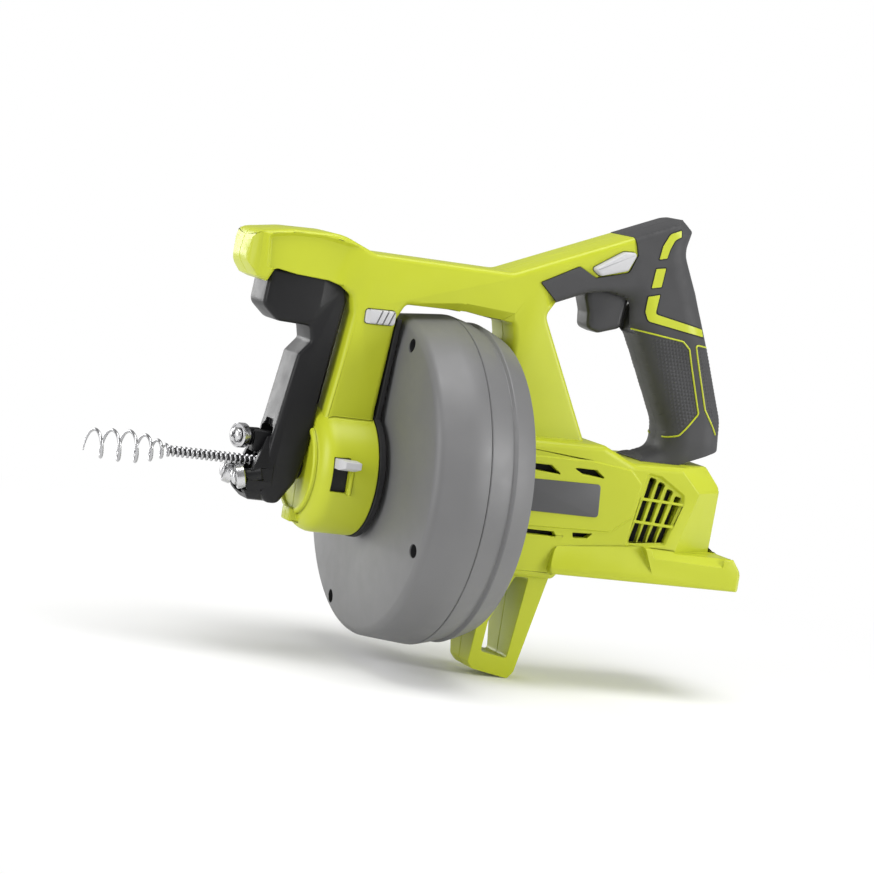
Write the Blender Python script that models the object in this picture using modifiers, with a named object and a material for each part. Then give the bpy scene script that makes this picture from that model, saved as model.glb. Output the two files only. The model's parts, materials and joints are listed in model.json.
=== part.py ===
"""Cordless drum drain auger, modelled as separate pieces in metres, +Z up.

Frame: the origin is on the ground, under the middle of the tool. X runs along the drum's spindle,
with the cable leaving towards -X and the motor behind the drum at +X. The left housing half is at
-Y and the right one at +Y.
Everything is modelled in millimetres from the point where the spindle meets the plane of the
drum's rear rim. The helpers turn that into metres through MM, and the last step moves it all by
SPINDLE_X and SPINDLE_Z.
"""
import math

import bmesh
import bpy
from mathutils import Matrix, Vector

MM = 0.001
WELD = 2e-6                     # metres, well under any real edge
GAP = 0.3                       # between pieces that rest on each other
SPINDLE_X = 33.417              # the spindle's place behind the middle of the tool
SPINDLE_Z = 109.256             # and its height above the ground

# Drum
DRUM_RADIUS = 95.0
DRUM_FRONT_X = -66.0
DRUM_PARTING_X = -31.0
DRUM_REAR_RADIUS = 85.0
DRUM_WALL = 2.5
DRUM_FILLET = 14.0
DRUM_TUBE_RADIUS = 10.0
DRUM_TUBE_FRONT_X = -80.0
DRUM_SCREW_CIRCLE = 82.0
DRUM_SCREW_ANGLES = (68.0, -22.0, -112.0, 158.0)
DRUM_STEPS = 30

# Cable and its bulb tip
CABLE_RADIUS = 3.2
CABLE_REAR_X = -22.0
CABLE_FRONT_X = -190.0
BULB_FRONT_X = -232.0
BULB_RADIUS = 8.2
BULB_WIRE_RADIUS = 0.8
BULB_TURNS = 5

# Nose housing, column and front handle
NOSE_RADIUS = 36.5
NOSE_FRONT_X = -107.0
NOSE_REAR_X = -73.0
FRAME_HALF_WIDTH = 17.0
FRAME_EDGE = 3.0

# Body behind the drum, battery foot and stand
BODY_HALF_WIDTH = 33.0
BODY_WALL = 3.0
FOOT_HALF_WIDTH = 38.0
STAND_HALF_WIDTH = 11.0
GRIP_HALF_WIDTH = 19.0
GRIP_SKIN = 2.6

# Gearbox and motor
MODULE = 1.0
SUN_TEETH = 12
PLANET_TEETH = 18
RING_TEETH = 48
PLANET_CIRCLE = MODULE * (SUN_TEETH + PLANET_TEETH) / 2
RING_OUTER_RADIUS = 28.5
GEAR_FRONT_X = 17.5
GEAR_REAR_X = 27.5
PIN_RADIUS = 2.2
MOTOR_RADIUS = 20.0
MOTOR_FRONT_X = 34.0
MOTOR_REAR_X = 92.0
SHAFT_RADIUS = 1.5
FAN_BLADES = 7

# Rollers that drive the cable
ROLLER_SKEW = 20.0
ROLLER_X = -144.0
TOP_ROLLER_RADIUS = 7.0
TOP_ROLLER_Z = 13.2
LOW_ROLLER_RADIUS = 6.8
LOW_ROLLER_Y = 9.4
LOW_ROLLER_Z = -8.6
ROLLER_WIDTH = 5.0
ROLLER_BORE = 2.0

# Outlines in X and Z; the third number is the corner's radius
HANDLE = [(-161, 112, 8), (-158.5, 128, 7), (-136, 131.5, 30), (-108, 132.5, 30), (-87, 124.5, 14),
          (-50, 124.5, 0), (-50, 98, 0), (-72, 98, 0), (-94, 97, 6), (-99, 101.5, 4), (-112, 106, 6),
          (-131, 107, 6), (-144, 109, 2), (-148, 101, 2), (-154, 103, 4)]
RAIL = [(-100, 124.5, 0), (-1, 124.8, 14), (20, 134, 0), (20, 90, 0), (5, 90, 3), (3, 96.5, 4),
        (-14, 97.5, 4), (-26, 99, 4), (-66, 98.5, 3), (-100, 98.5, 0)]
COLUMN = [(-104.5, 18, 0), (-98.5, 60, 0), (-94, 94, 0), (-94, 110, 0), (-66, 110, 0), (-68.5, 90, 0),
          (-73.1, 37, 0), (-73.1, 18, 0)]
SLAB = [(5, 110, 0), (14, 130, 0), (40, 124, 0), (27, 112, 4), (22.5, 103, 6), (59, 34, 4), (64, 20, 0),
        (64, -20, 0), (5, -20, 0)]
ARM = [(-2, 124.5, 14), (72, 155.5, 0), (103, 168, 2), (109.5, 163, 3), (107, 150, 12), (60, 118, 0),
       (46, 119.5, 3), (28, 112, 3), (10, 104, 0)]
GRIP = [(73, 131, 0), (79, 151, 0), (102, 166.5, 2), (108, 162, 3), (106, 150, 14), (118, 128, 30),
        (135, 89, 30), (148, 56, 20), (149, 36, 0), (149, 20, 0), (96, 20, 0), (107, 31, 4), (115, 36, 8),
        (113.5, 50, 16), (87, 99, 8), (76.4, 106, 4), (68, 113, 0)]
BODY = [(5, -46, 3), (5, 33, 4), (66, 34.5, 6), (86, 26, 8), (140, 28, 3), (152.5, 16, 3), (153, -28, 0),
        (60, -28, 0), (46, -46, 3)]
FOOT = [(39, -42, 4), (43, -26, 4), (96, -21, 2), (158, -23, 2), (165, -32, 2), (165, -42, 2)]
STAND = [(8, -40, 0), (9.5, -101, 3), (13, -105, 3), (37, -109.5, 2), (40, -105, 2), (45.5, -46, 0),
         (46, -40, 0)]
STAND_OPENING = [(24.5, -47, 2), (33, -47, 2), (33, -97, 2), (16, -94, 2), (15.5, -75, 3)]
OVERMOULD = [(15.5, 121.5, 0), (38, 133.5, 0), (49, 128.3, 1), (69.5, 134, 3), (73.5, 144.5, 0), (72, 150, 0),
             (70, 154.9, 0), (103, 168.8, 2), (110.4, 163, 3), (107.8, 150, 14), (119.8, 128, 30),
             (136.8, 89, 30), (149.8, 56, 20), (151.3, 38, 6), (141, 35, 8), (121, 27, 6), (96, 26.3, 2),
             (101, 30, 4), (113, 34.5, 8), (112.2, 48, 16), (85.4, 97.2, 8), (76, 104.2, 4),
             (60, 117.3, 0), (46, 118.7, 3), (27.5, 111, 0)]
GRIP_CORE = [(12, 121, 0), (40, 129.5, 2), (69, 134.5, 0), (75, 154, 0), (101, 164.5, 2), (106, 161, 2),
             (104.5, 150, 12), (116.5, 128, 30), (133, 89, 30), (146, 56, 20), (147, 30, 0), (147, 10, 0),
             (100, 10, 0), (110, 30, 4), (117, 40, 8), (114.5, 52, 16), (88, 100, 8), (77, 107.5, 4),
             (60, 120.5, 0), (46, 122, 3), (24, 112.5, 0)]
LEVER = [(-145, 109, 0), (-146.5, 88, 6), (-137, 80, 7), (-117.5, 79.5, 3), (-115.5, 71, 3), (-122, 63, 3),
         (-128.5, 22, 0), (-136, 16, 2), (-140.5, -8, 0), (-141.5, -16, 3), (-136.5, -21.5, 3),
         (-121, -21.5, 5), (-112, -8, 8), (-107.8, 10, 0), (-107.2, 22, 0), (-97.8, 96, 3), (-100, 104, 5),
         (-112, 109, 0)]
BLOCK = [(-145, 109, 0), (-146.5, 88, 6), (-137, 80, 7), (-116, 79.5, 5), (-111, 90, 4), (-110.5, 109, 0)]
TRIGGER = [(50, 124, 0), (47, 117, 4), (52, 108, 8), (53.5, 99.5, 3), (61, 97, 2), (75, 101.5, 3),
           (77.5, 124, 0)]
BUTTON = [(45.5, 133.5, 2), (51, 130, 1), (67.5, 135, 2), (71.5, 144, 1), (70.5, 146, 1), (64, 145.5, 2)]
AUTO_SWITCH = [(-88, 93.5, 2), (-70.5, 94, 2), (-70.5, 86, 2), (-88, 85.5, 2)]


# Helpers

def collection(name):
    """Makes a collection and links it to the scene."""
    made = bpy.data.collections.new(name)
    bpy.context.scene.collection.children.link(made)
    return made


def material(name, colour, roughness, metallic=0.0):
    """A Principled material of one plain colour."""
    made = bpy.data.materials.new(name)
    made.use_nodes = True
    shader = made.node_tree.nodes["Principled BSDF"]
    shader.inputs["Base Color"].default_value = (*colour, 1.0)
    shader.inputs["Roughness"].default_value = roughness
    shader.inputs["Metallic"].default_value = metallic
    return made


def rounded(corners, steps=2):
    """Turns (x, z, radius) corners into outline points, with an arc at each rounded corner."""
    points = []
    for index, (x, z, radius) in enumerate(corners):
        here = Vector((x, z))
        before = Vector(corners[index - 1][:2]) - here
        after = Vector(corners[(index + 1) % len(corners)][:2]) - here
        half_angle = before.angle(after) / 2
        reach = radius / math.tan(half_angle) if radius else 0.0
        reach = min(reach, before.length * 0.48, after.length * 0.48)
        if reach < 0.2 or half_angle > 1.5:
            points.append((x, z))
            continue
        start = here + before.normalized() * reach
        end = here + after.normalized() * reach
        for step in range(steps + 1):
            t = step / steps
            near = start.lerp(here, t)
            far = here.lerp(end, t)
            points.append(tuple(near.lerp(far, t)))
    return points


def bake(obj, weld=True):
    """Replaces an object by its evaluated mesh, if asked welded and with its faces turned outwards."""
    graph = bpy.context.evaluated_depsgraph_get()
    mesh = bpy.data.meshes.new_from_object(obj.evaluated_get(graph))
    mesh.transform(obj.matrix_world)
    if weld:
        bm = bmesh.new()
        bm.from_mesh(mesh)
        bmesh.ops.remove_doubles(bm, verts=bm.verts, dist=WELD)
        bmesh.ops.recalc_face_normals(bm, faces=bm.faces)
        bm.to_mesh(mesh)
        bm.free()
    name = obj.name
    home = obj.users_collection[0]
    bpy.data.objects.remove(obj)
    made = bpy.data.objects.new(name, mesh)
    home.objects.link(made)
    return made


def solid_from_bmesh(name, bm):
    """Puts a bmesh into a new object in the scratch collection."""
    mesh = bpy.data.meshes.new(name)
    bm.to_mesh(mesh)
    bm.free()
    obj = bpy.data.objects.new(name, mesh)
    SCRATCH.objects.link(obj)
    return obj


def prism(name, corners, low, high, edge=0.0, edge_steps=1, arc_steps=2):
    """A flat outline in X and Z, extruded along Y from low to high, with rounded cap edges."""
    curve = bpy.data.curves.new(name, "CURVE")
    curve.dimensions = "2D"
    curve.fill_mode = "BOTH"
    curve.extrude = (high - low) / 2 * MM
    points = rounded(corners, arc_steps)
    spline = curve.splines.new("POLY")
    spline.points.add(len(points) - 1)
    for point, (x, z) in zip(spline.points, points):
        point.co = (x * MM, z * MM, 0.0, 1.0)
    spline.use_cyclic_u = True
    obj = bpy.data.objects.new(name, curve)
    SCRATCH.objects.link(obj)
    obj.rotation_euler = (math.pi / 2, 0.0, 0.0)
    obj.location = (0.0, (low + high) / 2 * MM, 0.0)
    bpy.context.view_layer.update()
    obj = bake(obj)
    bm = bmesh.new()
    bm.from_mesh(obj.data)
    bmesh.ops.dissolve_limit(bm, angle_limit=0.001, verts=bm.verts, edges=bm.edges)
    if edge:
        caps = [face for face in bm.faces if abs(face.normal.y) > 0.99]
        rims = list({rim for face in caps for rim in face.edges})
        bmesh.ops.bevel(bm, geom=rims, offset=edge * MM, segments=edge_steps, profile=0.5, affect="EDGES")
    bm.to_mesh(obj.data)
    bm.free()
    return obj


def frame_prism(name, corners, half_width, edge=FRAME_EDGE, edge_steps=1):
    """A prism with the same half width on both sides of the middle plane."""
    return prism(name, corners, -half_width, half_width, edge, edge_steps)


def turned(name, profile, steps=24, centre=(0.0, 0.0)):
    """A closed profile of (x, radius) points turned about a line along X through (y, z) centre."""
    bm = bmesh.new()
    verts = [bm.verts.new((x * MM, 0.0, radius * MM)) for x, radius in profile]
    for index, vert in enumerate(verts):
        if profile[index - 1][1] or profile[index][1]:
            bm.edges.new((verts[index - 1], vert))
    obj = solid_from_bmesh(name, bm)
    screw = obj.modifiers.new("Turn", "SCREW")
    screw.axis = "X"
    screw.steps = steps
    screw.render_steps = steps
    screw.use_merge_vertices = True
    screw.merge_threshold = 0.00001
    obj.location = (0.0, centre[0] * MM, centre[1] * MM)
    bpy.context.view_layer.update()
    return bake(obj)


def rod(name, radius, start, end, segments=16):
    """A round rod between two points."""
    start = Vector(start)
    end = Vector(end)
    bm = bmesh.new()
    bmesh.ops.create_cone(bm, cap_ends=True, segments=segments, radius1=radius * MM, radius2=radius * MM,
                          depth=(end - start).length * MM)
    turn = (end - start).to_track_quat("Z", "Y").to_matrix().to_4x4()
    bm.transform(Matrix.Translation((start + end) / 2 * MM) @ turn)
    return solid_from_bmesh(name, bm)


def block(name, low, high, edge=0.0):
    """A box between two opposite corners."""
    low = Vector(low)
    high = Vector(high)
    size = high - low
    bm = bmesh.new()
    bmesh.ops.create_cube(bm, size=1.0)
    bm.transform(Matrix.Translation((low + high) / 2 * MM) @ Matrix.Diagonal((*(size * MM), 1.0)))
    if edge:
        bmesh.ops.bevel(bm, geom=bm.edges, offset=edge * MM, segments=2, profile=0.5, affect="EDGES")
    return solid_from_bmesh(name, bm)


def combine(target, tool, operation):
    """Joins, cuts or intersects two solids, and removes the tool.

    The MANIFOLD solver is used because EXACT gives an empty mesh where the body meets the grip.
    """
    boolean = target.modifiers.new(operation, "BOOLEAN")
    boolean.operation = operation
    boolean.solver = "MANIFOLD"
    boolean.object = tool
    bpy.context.view_layer.update()
    made = bake(target, weld=False)
    bpy.data.objects.remove(tool)
    return made


def join(target, *tools):
    for tool in tools:
        target = combine(target, tool, "UNION")
    return target


def cut(target, *tools):
    for tool in tools:
        target = combine(target, tool, "DIFFERENCE")
    return target


def duplicate(obj, name):
    made = bpy.data.objects.new(name, obj.data.copy())
    SCRATCH.objects.link(made)
    return made


def grown(corners, amount):
    """An outline moved outwards by an amount, corner by corner."""
    area = sum(a[0] * b[1] - b[0] * a[1] for a, b in zip(corners, corners[1:] + corners[:1]))
    sign = 1.0 if area > 0 else -1.0
    moved = []
    for index, (x, z, radius) in enumerate(corners):
        here = Vector((x, z))
        along = (here - Vector(corners[index - 1][:2])).normalized()
        onward = (Vector(corners[(index + 1) % len(corners)][:2]) - here).normalized()
        normal = (along + onward).normalized()
        normal = Vector((normal.y, -normal.x)) * sign
        spread = amount / max(0.45, math.sqrt(max(0.0, (1 + along.dot(onward)) / 2)))
        moved.append((x + normal.x * spread, z + normal.y * spread, radius + amount if radius else 0))
    return moved


def finish(obj, name, surface, parent=None, soften=True):
    """Names a finished piece, gives it its material, collection and parent, and shades it."""
    obj.name = name
    obj.data.name = name
    obj.data.materials.clear()
    obj.data.materials.append(surface)
    for home in list(obj.users_collection):
        home.objects.unlink(obj)
    PARTS.objects.link(obj)
    if soften:
        obj.data.shade_smooth()
        obj.data.set_sharp_from_angle(angle=math.radians(35.0))
    if parent:
        obj.parent = parent
        obj.matrix_parent_inverse = Matrix.Translation(parent.location).inverted()
    return obj


def joint_empty(name, position):
    """An empty on a joint's axis, that its moving pieces hang on."""
    empty = bpy.data.objects.new(name, None)
    empty.location = Vector(position) * MM
    PARTS.objects.link(empty)
    return empty


# Housing: built whole, then split at the middle plane

def nose_solid():
    """The round nose housing that carries the drum's front bearing."""
    fillet = 11.0
    profile = [(NOSE_REAR_X, 0.0), (NOSE_REAR_X, NOSE_RADIUS)]
    for step in range(4):
        angle = math.pi / 2 * step / 3
        along = NOSE_FRONT_X + fillet * (1 - math.sin(angle))
        profile.append((along, NOSE_RADIUS - fillet * (1 - math.cos(angle))))
    profile[2] = (NOSE_FRONT_X + fillet, NOSE_RADIUS)
    profile.append((NOSE_FRONT_X, 0.0))
    return turned("nose", profile, 28)


def housing_outside():
    """Front handle, rail, column, arm, slab, body, foot and stand as one solid."""
    whole = frame_prism("housing", HANDLE, FRAME_HALF_WIDTH + 0.2, 2.5)
    rest = [frame_prism("rail", RAIL, FRAME_HALF_WIDTH - 0.2), frame_prism("column", COLUMN, FRAME_HALF_WIDTH),
            frame_prism("slab", SLAB, FRAME_HALF_WIDTH + 1.5), frame_prism("arm", ARM, FRAME_HALF_WIDTH - 0.5),
            frame_prism("grip", GRIP, GRIP_HALF_WIDTH - 0.5, 0),
            frame_prism("body", BODY, BODY_HALF_WIDTH, 4.0), frame_prism("foot", FOOT, FOOT_HALF_WIDTH, 2.0),
            frame_prism("stand", STAND, STAND_HALF_WIDTH, 1.5)]
    whole = join(whole, nose_solid(), *rest)
    return cut(whole, prism("stand_opening", STAND_OPENING, -60, 60))


def grip_region(skin):
    """The space that the overmoulded grip takes up around the housing's core."""
    outer = frame_prism("grip_outer", grown(OVERMOULD, skin), GRIP_HALF_WIDTH + 2.0 + skin, 0)
    core = frame_prism("grip_core", GRIP_CORE, GRIP_HALF_WIDTH - GRIP_SKIN, 0)
    return cut(outer, core)


def housing_cavities():
    """The hollows and openings, all open at the middle plane or outwards."""
    cable_bore = rod("cable_bore", 5.5, (-120, 0, 0), (-70, 0, 0), 20)
    front_seat = rod("front_seat", 17.0 + GAP, (-84.5, 0, 0), (-60, 0, 0), 32)
    rear_seat = rod("rear_seat", 13.0 + GAP, (-2, 0, 0), (14, 0, 0), 32)
    body = [(12.5, -30, 2), (12.5, 30.5, 2), (66, 31.5, 6), (88, 23, 6), (138, 25, 3), (149, 14, 3),
            (149.5, -28, 0), (59, -28, 0), (57, -30, 0)]
    lever = grown(LEVER, 0.7)
    swept = [(-146.2, 92, 0), (-146.2, 117, 2), (-98, 117, 2), (-97, 104, 2), (-96.3, 80, 0)]
    column = [(-99, 30, 0), (-92, 84, 0), (-71.5, 84, 0), (-76, 30, 0)]
    rail = [(-92, 103, 2), (-92, 120.5, 2), (0, 120.5, 2), (12, 122, 0), (12, 103, 2)]
    slab = [(10, 101, 2), (10, 121, 2), (19, 108, 4), (55, 34, 0), (60, 20, 0), (12.5, 20, 0)]
    battery = [(62, -60, 0), (62, -30, 2), (150, -30, 2), (150, -60, 0)]
    return [cable_bore, front_seat, rear_seat,
            frame_prism("body_cavity", body, BODY_HALF_WIDTH - BODY_WALL, 3.0),
            frame_prism("lever_slot", lever, 13.8, 0), frame_prism("lever_sweep", swept, 13.8, 0),
            frame_prism("column_cavity", column, FRAME_HALF_WIDTH - 3, 0),
            frame_prism("rail_cavity", rail, FRAME_HALF_WIDTH - 3, 0),
            frame_prism("slab_cavity", slab, FRAME_HALF_WIDTH - 3, 0),
            frame_prism("battery_bay", battery, 29.0, 0),
            rod("spring_pocket", 5.0, (-128, 0, 110), (-128, 0, 125.5), 16)]


def handle_cavity():
    """The hollow grip, that holds the switch module, the trigger and the direction button."""
    hollow = [(48, 123, 0), (84, 151, 3), (100, 159, 3), (100, 148, 8), (112, 126, 20), (129, 88, 20),
              (141, 54, 10), (141, 15, 0), (122, 15, 0), (122, 42, 8), (118, 54, 10), (93, 101, 6), (80, 112, 0),
              (66, 120, 0)]
    return frame_prism("handle_cavity", hollow, 11.5, 0)


def trigger_pocket():
    """Room for the trigger over its whole stroke."""
    pocket = [(40, 126, 0), (40, 90, 0), (77.5, 90, 0), (84.5, 100.5, 0), (88, 126, 0)]
    return frame_prism("trigger_pocket", pocket, 9.0, 0)


def side_windows():
    """Windows for the direction button and the auto-feed switch, through both halves."""
    return [prism("button_window", grown(BUTTON, 0.5), -30, 30),
            prism("switch_window", grown(AUTO_SWITCH, 0.5), -30, 30)]


def vent(x0, x1, z0, z1, lean):
    """One slanted slot through both side walls."""
    corners = [(x0, z0, 0), (x1, z0, 0), (x1 + lean, z1, 0), (x0 + lean, z1, 0)]
    return prism("vent", corners, -60, 60)


def vents():
    """Cooling slots: four beside the motor, and a grille of four long ones beside the fan."""
    slots = [vent(26, 42, 16.0, 19.0, -4), vent(49, 68, 15.5, 19.0, -5),
             vent(26, 42, -21.0, -18.0, 3), vent(49, 64, -21.0, -17.5, 3)]
    for index in range(4):
        x0 = 92.0 + 7.2 * index
        slots.append(vent(x0, x0 + 4.0, -17.0 + index * 0.4, 16.0 - index * 1.5, 9.0))
    return slots


def clamp_openings():
    """The slider's slot in the left side of the nose, and the chamber of slider and jaw."""
    return [block("slot", (-99.5, -50, -8.5), (-90.0, -26, 10.5)),
            block("slider_chamber", (-101, -28.6, -19.5), (-88.5, -24, 15)),
            block("jaw_chamber", (-99.6, -8.6, -20), (-89.4, 8.6, -2)),
            block("link_channel", (-99.6, -26, -19.5), (-89.4, -6, -12))]


HOUSING_SCREWS = [(-153, 121), (-61, 111), (16, 103), (75, -25.1), (157.5, -32.5), (38, 56)]
SCREW_RADIUS = 1.5
SCREW_HEAD_RADIUS = 2.8
SCREW_POST_RADIUS = 4.7


def screw_posts():
    """Posts across the hollow, that the screws go through."""
    half = FRAME_HALF_WIDTH - 1.5
    return [rod("post", SCREW_POST_RADIUS, (x, -half, z), (x, half, z), 9) for x, z in HOUSING_SCREWS]


def screw_holes():
    """Stepped holes for the screws that hold the halves together, driven from the right."""
    holes = []
    for x, z in HOUSING_SCREWS:
        holes.append(rod("hole", SCREW_RADIUS + GAP * 2, (x, -11.5, z), (x, 10, z), 6))
        holes.append(rod("hole_head", SCREW_HEAD_RADIUS + GAP * 2, (x, 9.0, z), (x, 60, z), 10))
    return holes


def halves(whole):
    """The left and right halves of a solid, with a hairline gap at the middle plane."""
    left_side = block("left_side", (-300, -90, -200), (300, -GAP / 2, 300))
    right_side = block("right_side", (-300, GAP / 2, -200), (300, 90, 300))
    left = combine(duplicate(whole, "left"), left_side, "INTERSECT")
    return left, combine(whole, right_side, "INTERSECT")


def housing_halves(lime):
    whole = housing_outside()
    whole = cut(whole, grip_region(GAP), *housing_cavities(), handle_cavity(), trigger_pocket())
    whole = cut(whole, *side_windows())
    whole = join(cut(whole, *vents()), *screw_posts())
    whole = cut(whole, *screw_holes())
    left, right = halves(whole)
    left = cut(left, *clamp_openings())
    right = cut(right, block("jaw_chamber", (-99.6, -8.6, -20), (-89.4, 8.6, -2)))
    finish(left, "left_housing", lime)
    finish(right, "right_housing", lime)


def grip_halves(rubber):
    """Soft overmould shells around the grip's core."""
    outer = frame_prism("overmould", OVERMOULD, GRIP_HALF_WIDTH, 3.5)
    core = frame_prism("core", grown(GRIP_CORE, GAP), GRIP_HALF_WIDTH - GRIP_SKIN + GAP, 0)
    below = block("below", (80, -30, 0), (110, 30, 26.4))
    whole = cut(outer, core, trigger_pocket(), prism("button_window", grown(BUTTON, 0.5), -30, 30), below)
    left, right = halves(whole)
    finish(left, "left_grip", rubber)
    finish(right, "right_grip", rubber)


def housing_screws(steel):
    for index, (x, z) in enumerate(HOUSING_SCREWS):
        shank = rod("shank", SCREW_RADIUS, (x, -10.5, z), (x, 11.0, z), 6)
        head = rod("head", SCREW_HEAD_RADIUS, (x, 9.5, z), (x, 12.0, z), 10)
        finish(join(head, shank), f"housing_screw_{index + 1}", steel)


# Drum

def drum_screw_places():
    for degrees in DRUM_SCREW_ANGLES:
        angle = math.radians(degrees)
        yield -DRUM_SCREW_CIRCLE * math.cos(angle), DRUM_SCREW_CIRCLE * math.sin(angle)


def drum_front_profile():
    """The front cover's section: tube, flat face, large fillet and rim."""
    centre_x = DRUM_FRONT_X + DRUM_FILLET
    centre_r = DRUM_RADIUS - DRUM_FILLET
    outer = []
    inner = []
    for step in range(4):
        angle = math.pi / 2 * step / 3
        outer.append((centre_x - DRUM_FILLET * math.cos(angle), centre_r + DRUM_FILLET * math.sin(angle)))
        small = DRUM_FILLET - DRUM_WALL
        inner.append((centre_x - small * math.cos(angle), centre_r + small * math.sin(angle)))
    rim = DRUM_PARTING_X - GAP / 2
    start = [(DRUM_TUBE_FRONT_X, 6.0), (DRUM_TUBE_FRONT_X, DRUM_TUBE_RADIUS), (DRUM_FRONT_X, DRUM_TUBE_RADIUS)]
    end = [(rim, DRUM_RADIUS), (rim, DRUM_RADIUS - DRUM_WALL)]
    return start + outer + end + inner[::-1] + [(DRUM_FRONT_X + DRUM_WALL, 6.0)]


def drum_rear_profile():
    """The rear cover's section: a stepped side that closes in to the rear rim, and a flat wall."""
    outer = [(DRUM_PARTING_X + GAP / 2, 94.8), (-22.0, 94.0), (-14.0, 91.5), (-6.0, 88.5), (-1.2, 86.8),
             (0.0, DRUM_REAR_RADIUS)]
    inner = [(x - 0.6, radius - DRUM_WALL) for x, radius in outer[1:-1]]
    first = (DRUM_PARTING_X + GAP / 2, 94.8 - DRUM_WALL)
    return outer + [(0.0, 9.0), (-DRUM_WALL, 9.0), (-DRUM_WALL, 83.0)] + inner[::-1][1:] + [first]


def drum(grey, steel, cable_steel, dark):
    """The turning drum: covers, screws, stored cable and spindle."""
    pivot = joint_empty("drum_pivot", (0, 0, 0))
    front = turned("front", drum_front_profile(), DRUM_STEPS)
    rear = turned("rear", drum_rear_profile(), DRUM_STEPS)
    face_x = DRUM_FRONT_X + 1.0
    for y, z in drum_screw_places():
        front = join(front, rod("tower", 5.2, (face_x, y, z), (DRUM_PARTING_X - GAP, y, z), 8))
        rear = join(rear, rod("tower", 4.8, (DRUM_PARTING_X + GAP, y, z), (-1.0, y, z), 8))
    for y, z in drum_screw_places():
        front = cut(front, rod("head_hole", 3.5, (-80, y, z), (-55, y, z), 8),
                    rod("shank_hole", 1.8, (-60, y, z), (-20, y, z), 6))
        rear = cut(rear, rod("shank_hole", 1.8, (-40, y, z), (-8, y, z), 6))
    finish(front, "drum_front_cover", grey, pivot)
    finish(rear, "drum_rear_cover", grey, pivot)
    for index, (y, z) in enumerate(drum_screw_places()):
        head = rod("head", 3.1, (-57.5, y, z), (-55 - GAP, y, z), 10)
        shank = rod("shank", 1.3, (-56, y, z), (-12, y, z), 6)
        finish(join(head, shank), f"drum_screw_{index + 1}", steel, pivot)
    finish(cable_pack(), "stored_cable", cable_steel, pivot)
    finish(spindle(), "drum_spindle", dark, pivot)
    return pivot


def cable_pack():
    """The stored cable as a ring of touching turns, ribbed where each turn shows."""
    turns = 7
    pitch = CABLE_RADIUS * 2
    start_x = -55.0
    profile = [(start_x, 54.0)]
    for turn in range(turns):
        for step in range(2):
            angle = math.pi * (step + 0.5) / 2
            x = start_x + pitch * (turn + 0.5) - CABLE_RADIUS * math.cos(angle)
            profile.append((x, 71.0 + CABLE_RADIUS * math.sin(angle)))
    profile.append((start_x + pitch * turns, 54.0))
    return turned("pack", profile, 20)


def spindle():
    """Flange inside the drum, output shaft, planet carrier disc and three planet pins."""
    profile = [(-7.0, 0.0), (-7.0, 6.0), (-5.8, 6.0), (-5.8, 24.0), (-2.8, 24.0), (-2.8, 8.6), (3.0, 8.6),
               (3.0, 7.0), (12.8, 7.0), (12.8, 19.0), (16.2, 19.0), (16.2, 0.0)]
    made = turned("spindle", profile, 20)
    for place in planet_places():
        made = join(made, rod("pin", PIN_RADIUS, (14, *place), (GEAR_REAR_X + 1, *place), 8))
    return made


# Gearbox and motor

def planet_places():
    for index in range(3):
        angle = 2 * math.pi * index / 3
        yield PLANET_CIRCLE * math.sin(angle), PLANET_CIRCLE * math.cos(angle)


def gear_points(teeth, sign, phase):
    """Points of a gear outline; sign +1 for outside teeth, -1 for a ring's inside teeth."""
    pitch_radius = MODULE * teeth / 2
    root = pitch_radius - sign * 1.25 * MODULE
    tip = pitch_radius + sign * 0.9 * MODULE
    root_half = 0.80 * MODULE
    tip_half = 0.28 * MODULE
    points = []
    for tooth in range(teeth):
        middle = phase + 2 * math.pi * tooth / teeth
        for radius, offset in ((root, -root_half), (tip, -tip_half), (tip, tip_half), (root, root_half)):
            angle = middle + offset / radius
            points.append((radius * math.sin(angle), radius * math.cos(angle)))
    return points


def gear_prism(name, points, low, high, centre=(0.0, 0.0)):
    """An outline of (y, z) points extruded along X from low to high."""
    curve = bpy.data.curves.new(name, "CURVE")
    curve.dimensions = "2D"
    curve.fill_mode = "BOTH"
    curve.extrude = (high - low) / 2 * MM
    spline = curve.splines.new("POLY")
    spline.points.add(len(points) - 1)
    for point, (y, z) in zip(spline.points, points):
        point.co = ((y + centre[0]) * MM, (z + centre[1]) * MM, 0.0, 1.0)
    spline.use_cyclic_u = True
    obj = bpy.data.objects.new(name, curve)
    SCRATCH.objects.link(obj)
    obj.rotation_euler = (math.pi / 2, 0.0, math.pi / 2)
    obj.location = ((low + high) / 2 * MM, 0.0, 0.0)
    bpy.context.view_layer.update()
    return bake(obj)


def planets(steel, drum_pivot):
    """Three planets; each shows the sun a gap and the ring a gap along its own spoke."""
    for index, (y, z) in enumerate(planet_places()):
        pivot = joint_empty(f"planet_pivot_{index + 1}", (0, y, z))
        pivot.parent = drum_pivot
        spoke = math.atan2(y, z)
        points = gear_points(PLANET_TEETH, 1, spoke + math.pi / PLANET_TEETH)
        gear = gear_prism("planet", points, GEAR_FRONT_X, GEAR_REAR_X, (y, z))
        gear = cut(gear, rod("bore", PIN_RADIUS + GAP, (0, y, z), (50, y, z), 12))
        gear = finish(gear, f"planet_gear_{index + 1}", steel)
        gear.parent = pivot
        gear.matrix_parent_inverse = Matrix.Translation(Vector((0, y, z)) * MM).inverted()


def ring_gear(steel):
    body = rod("ring", RING_OUTER_RADIUS, (GEAR_FRONT_X - 0.5, 0, 0), (GEAR_REAR_X + 1.5, 0, 0), 24)
    hollow = gear_prism("hollow", gear_points(RING_TEETH, -1, 0.0), 0, 60)
    finish(cut(body, hollow), "ring_gear", steel)


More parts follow.
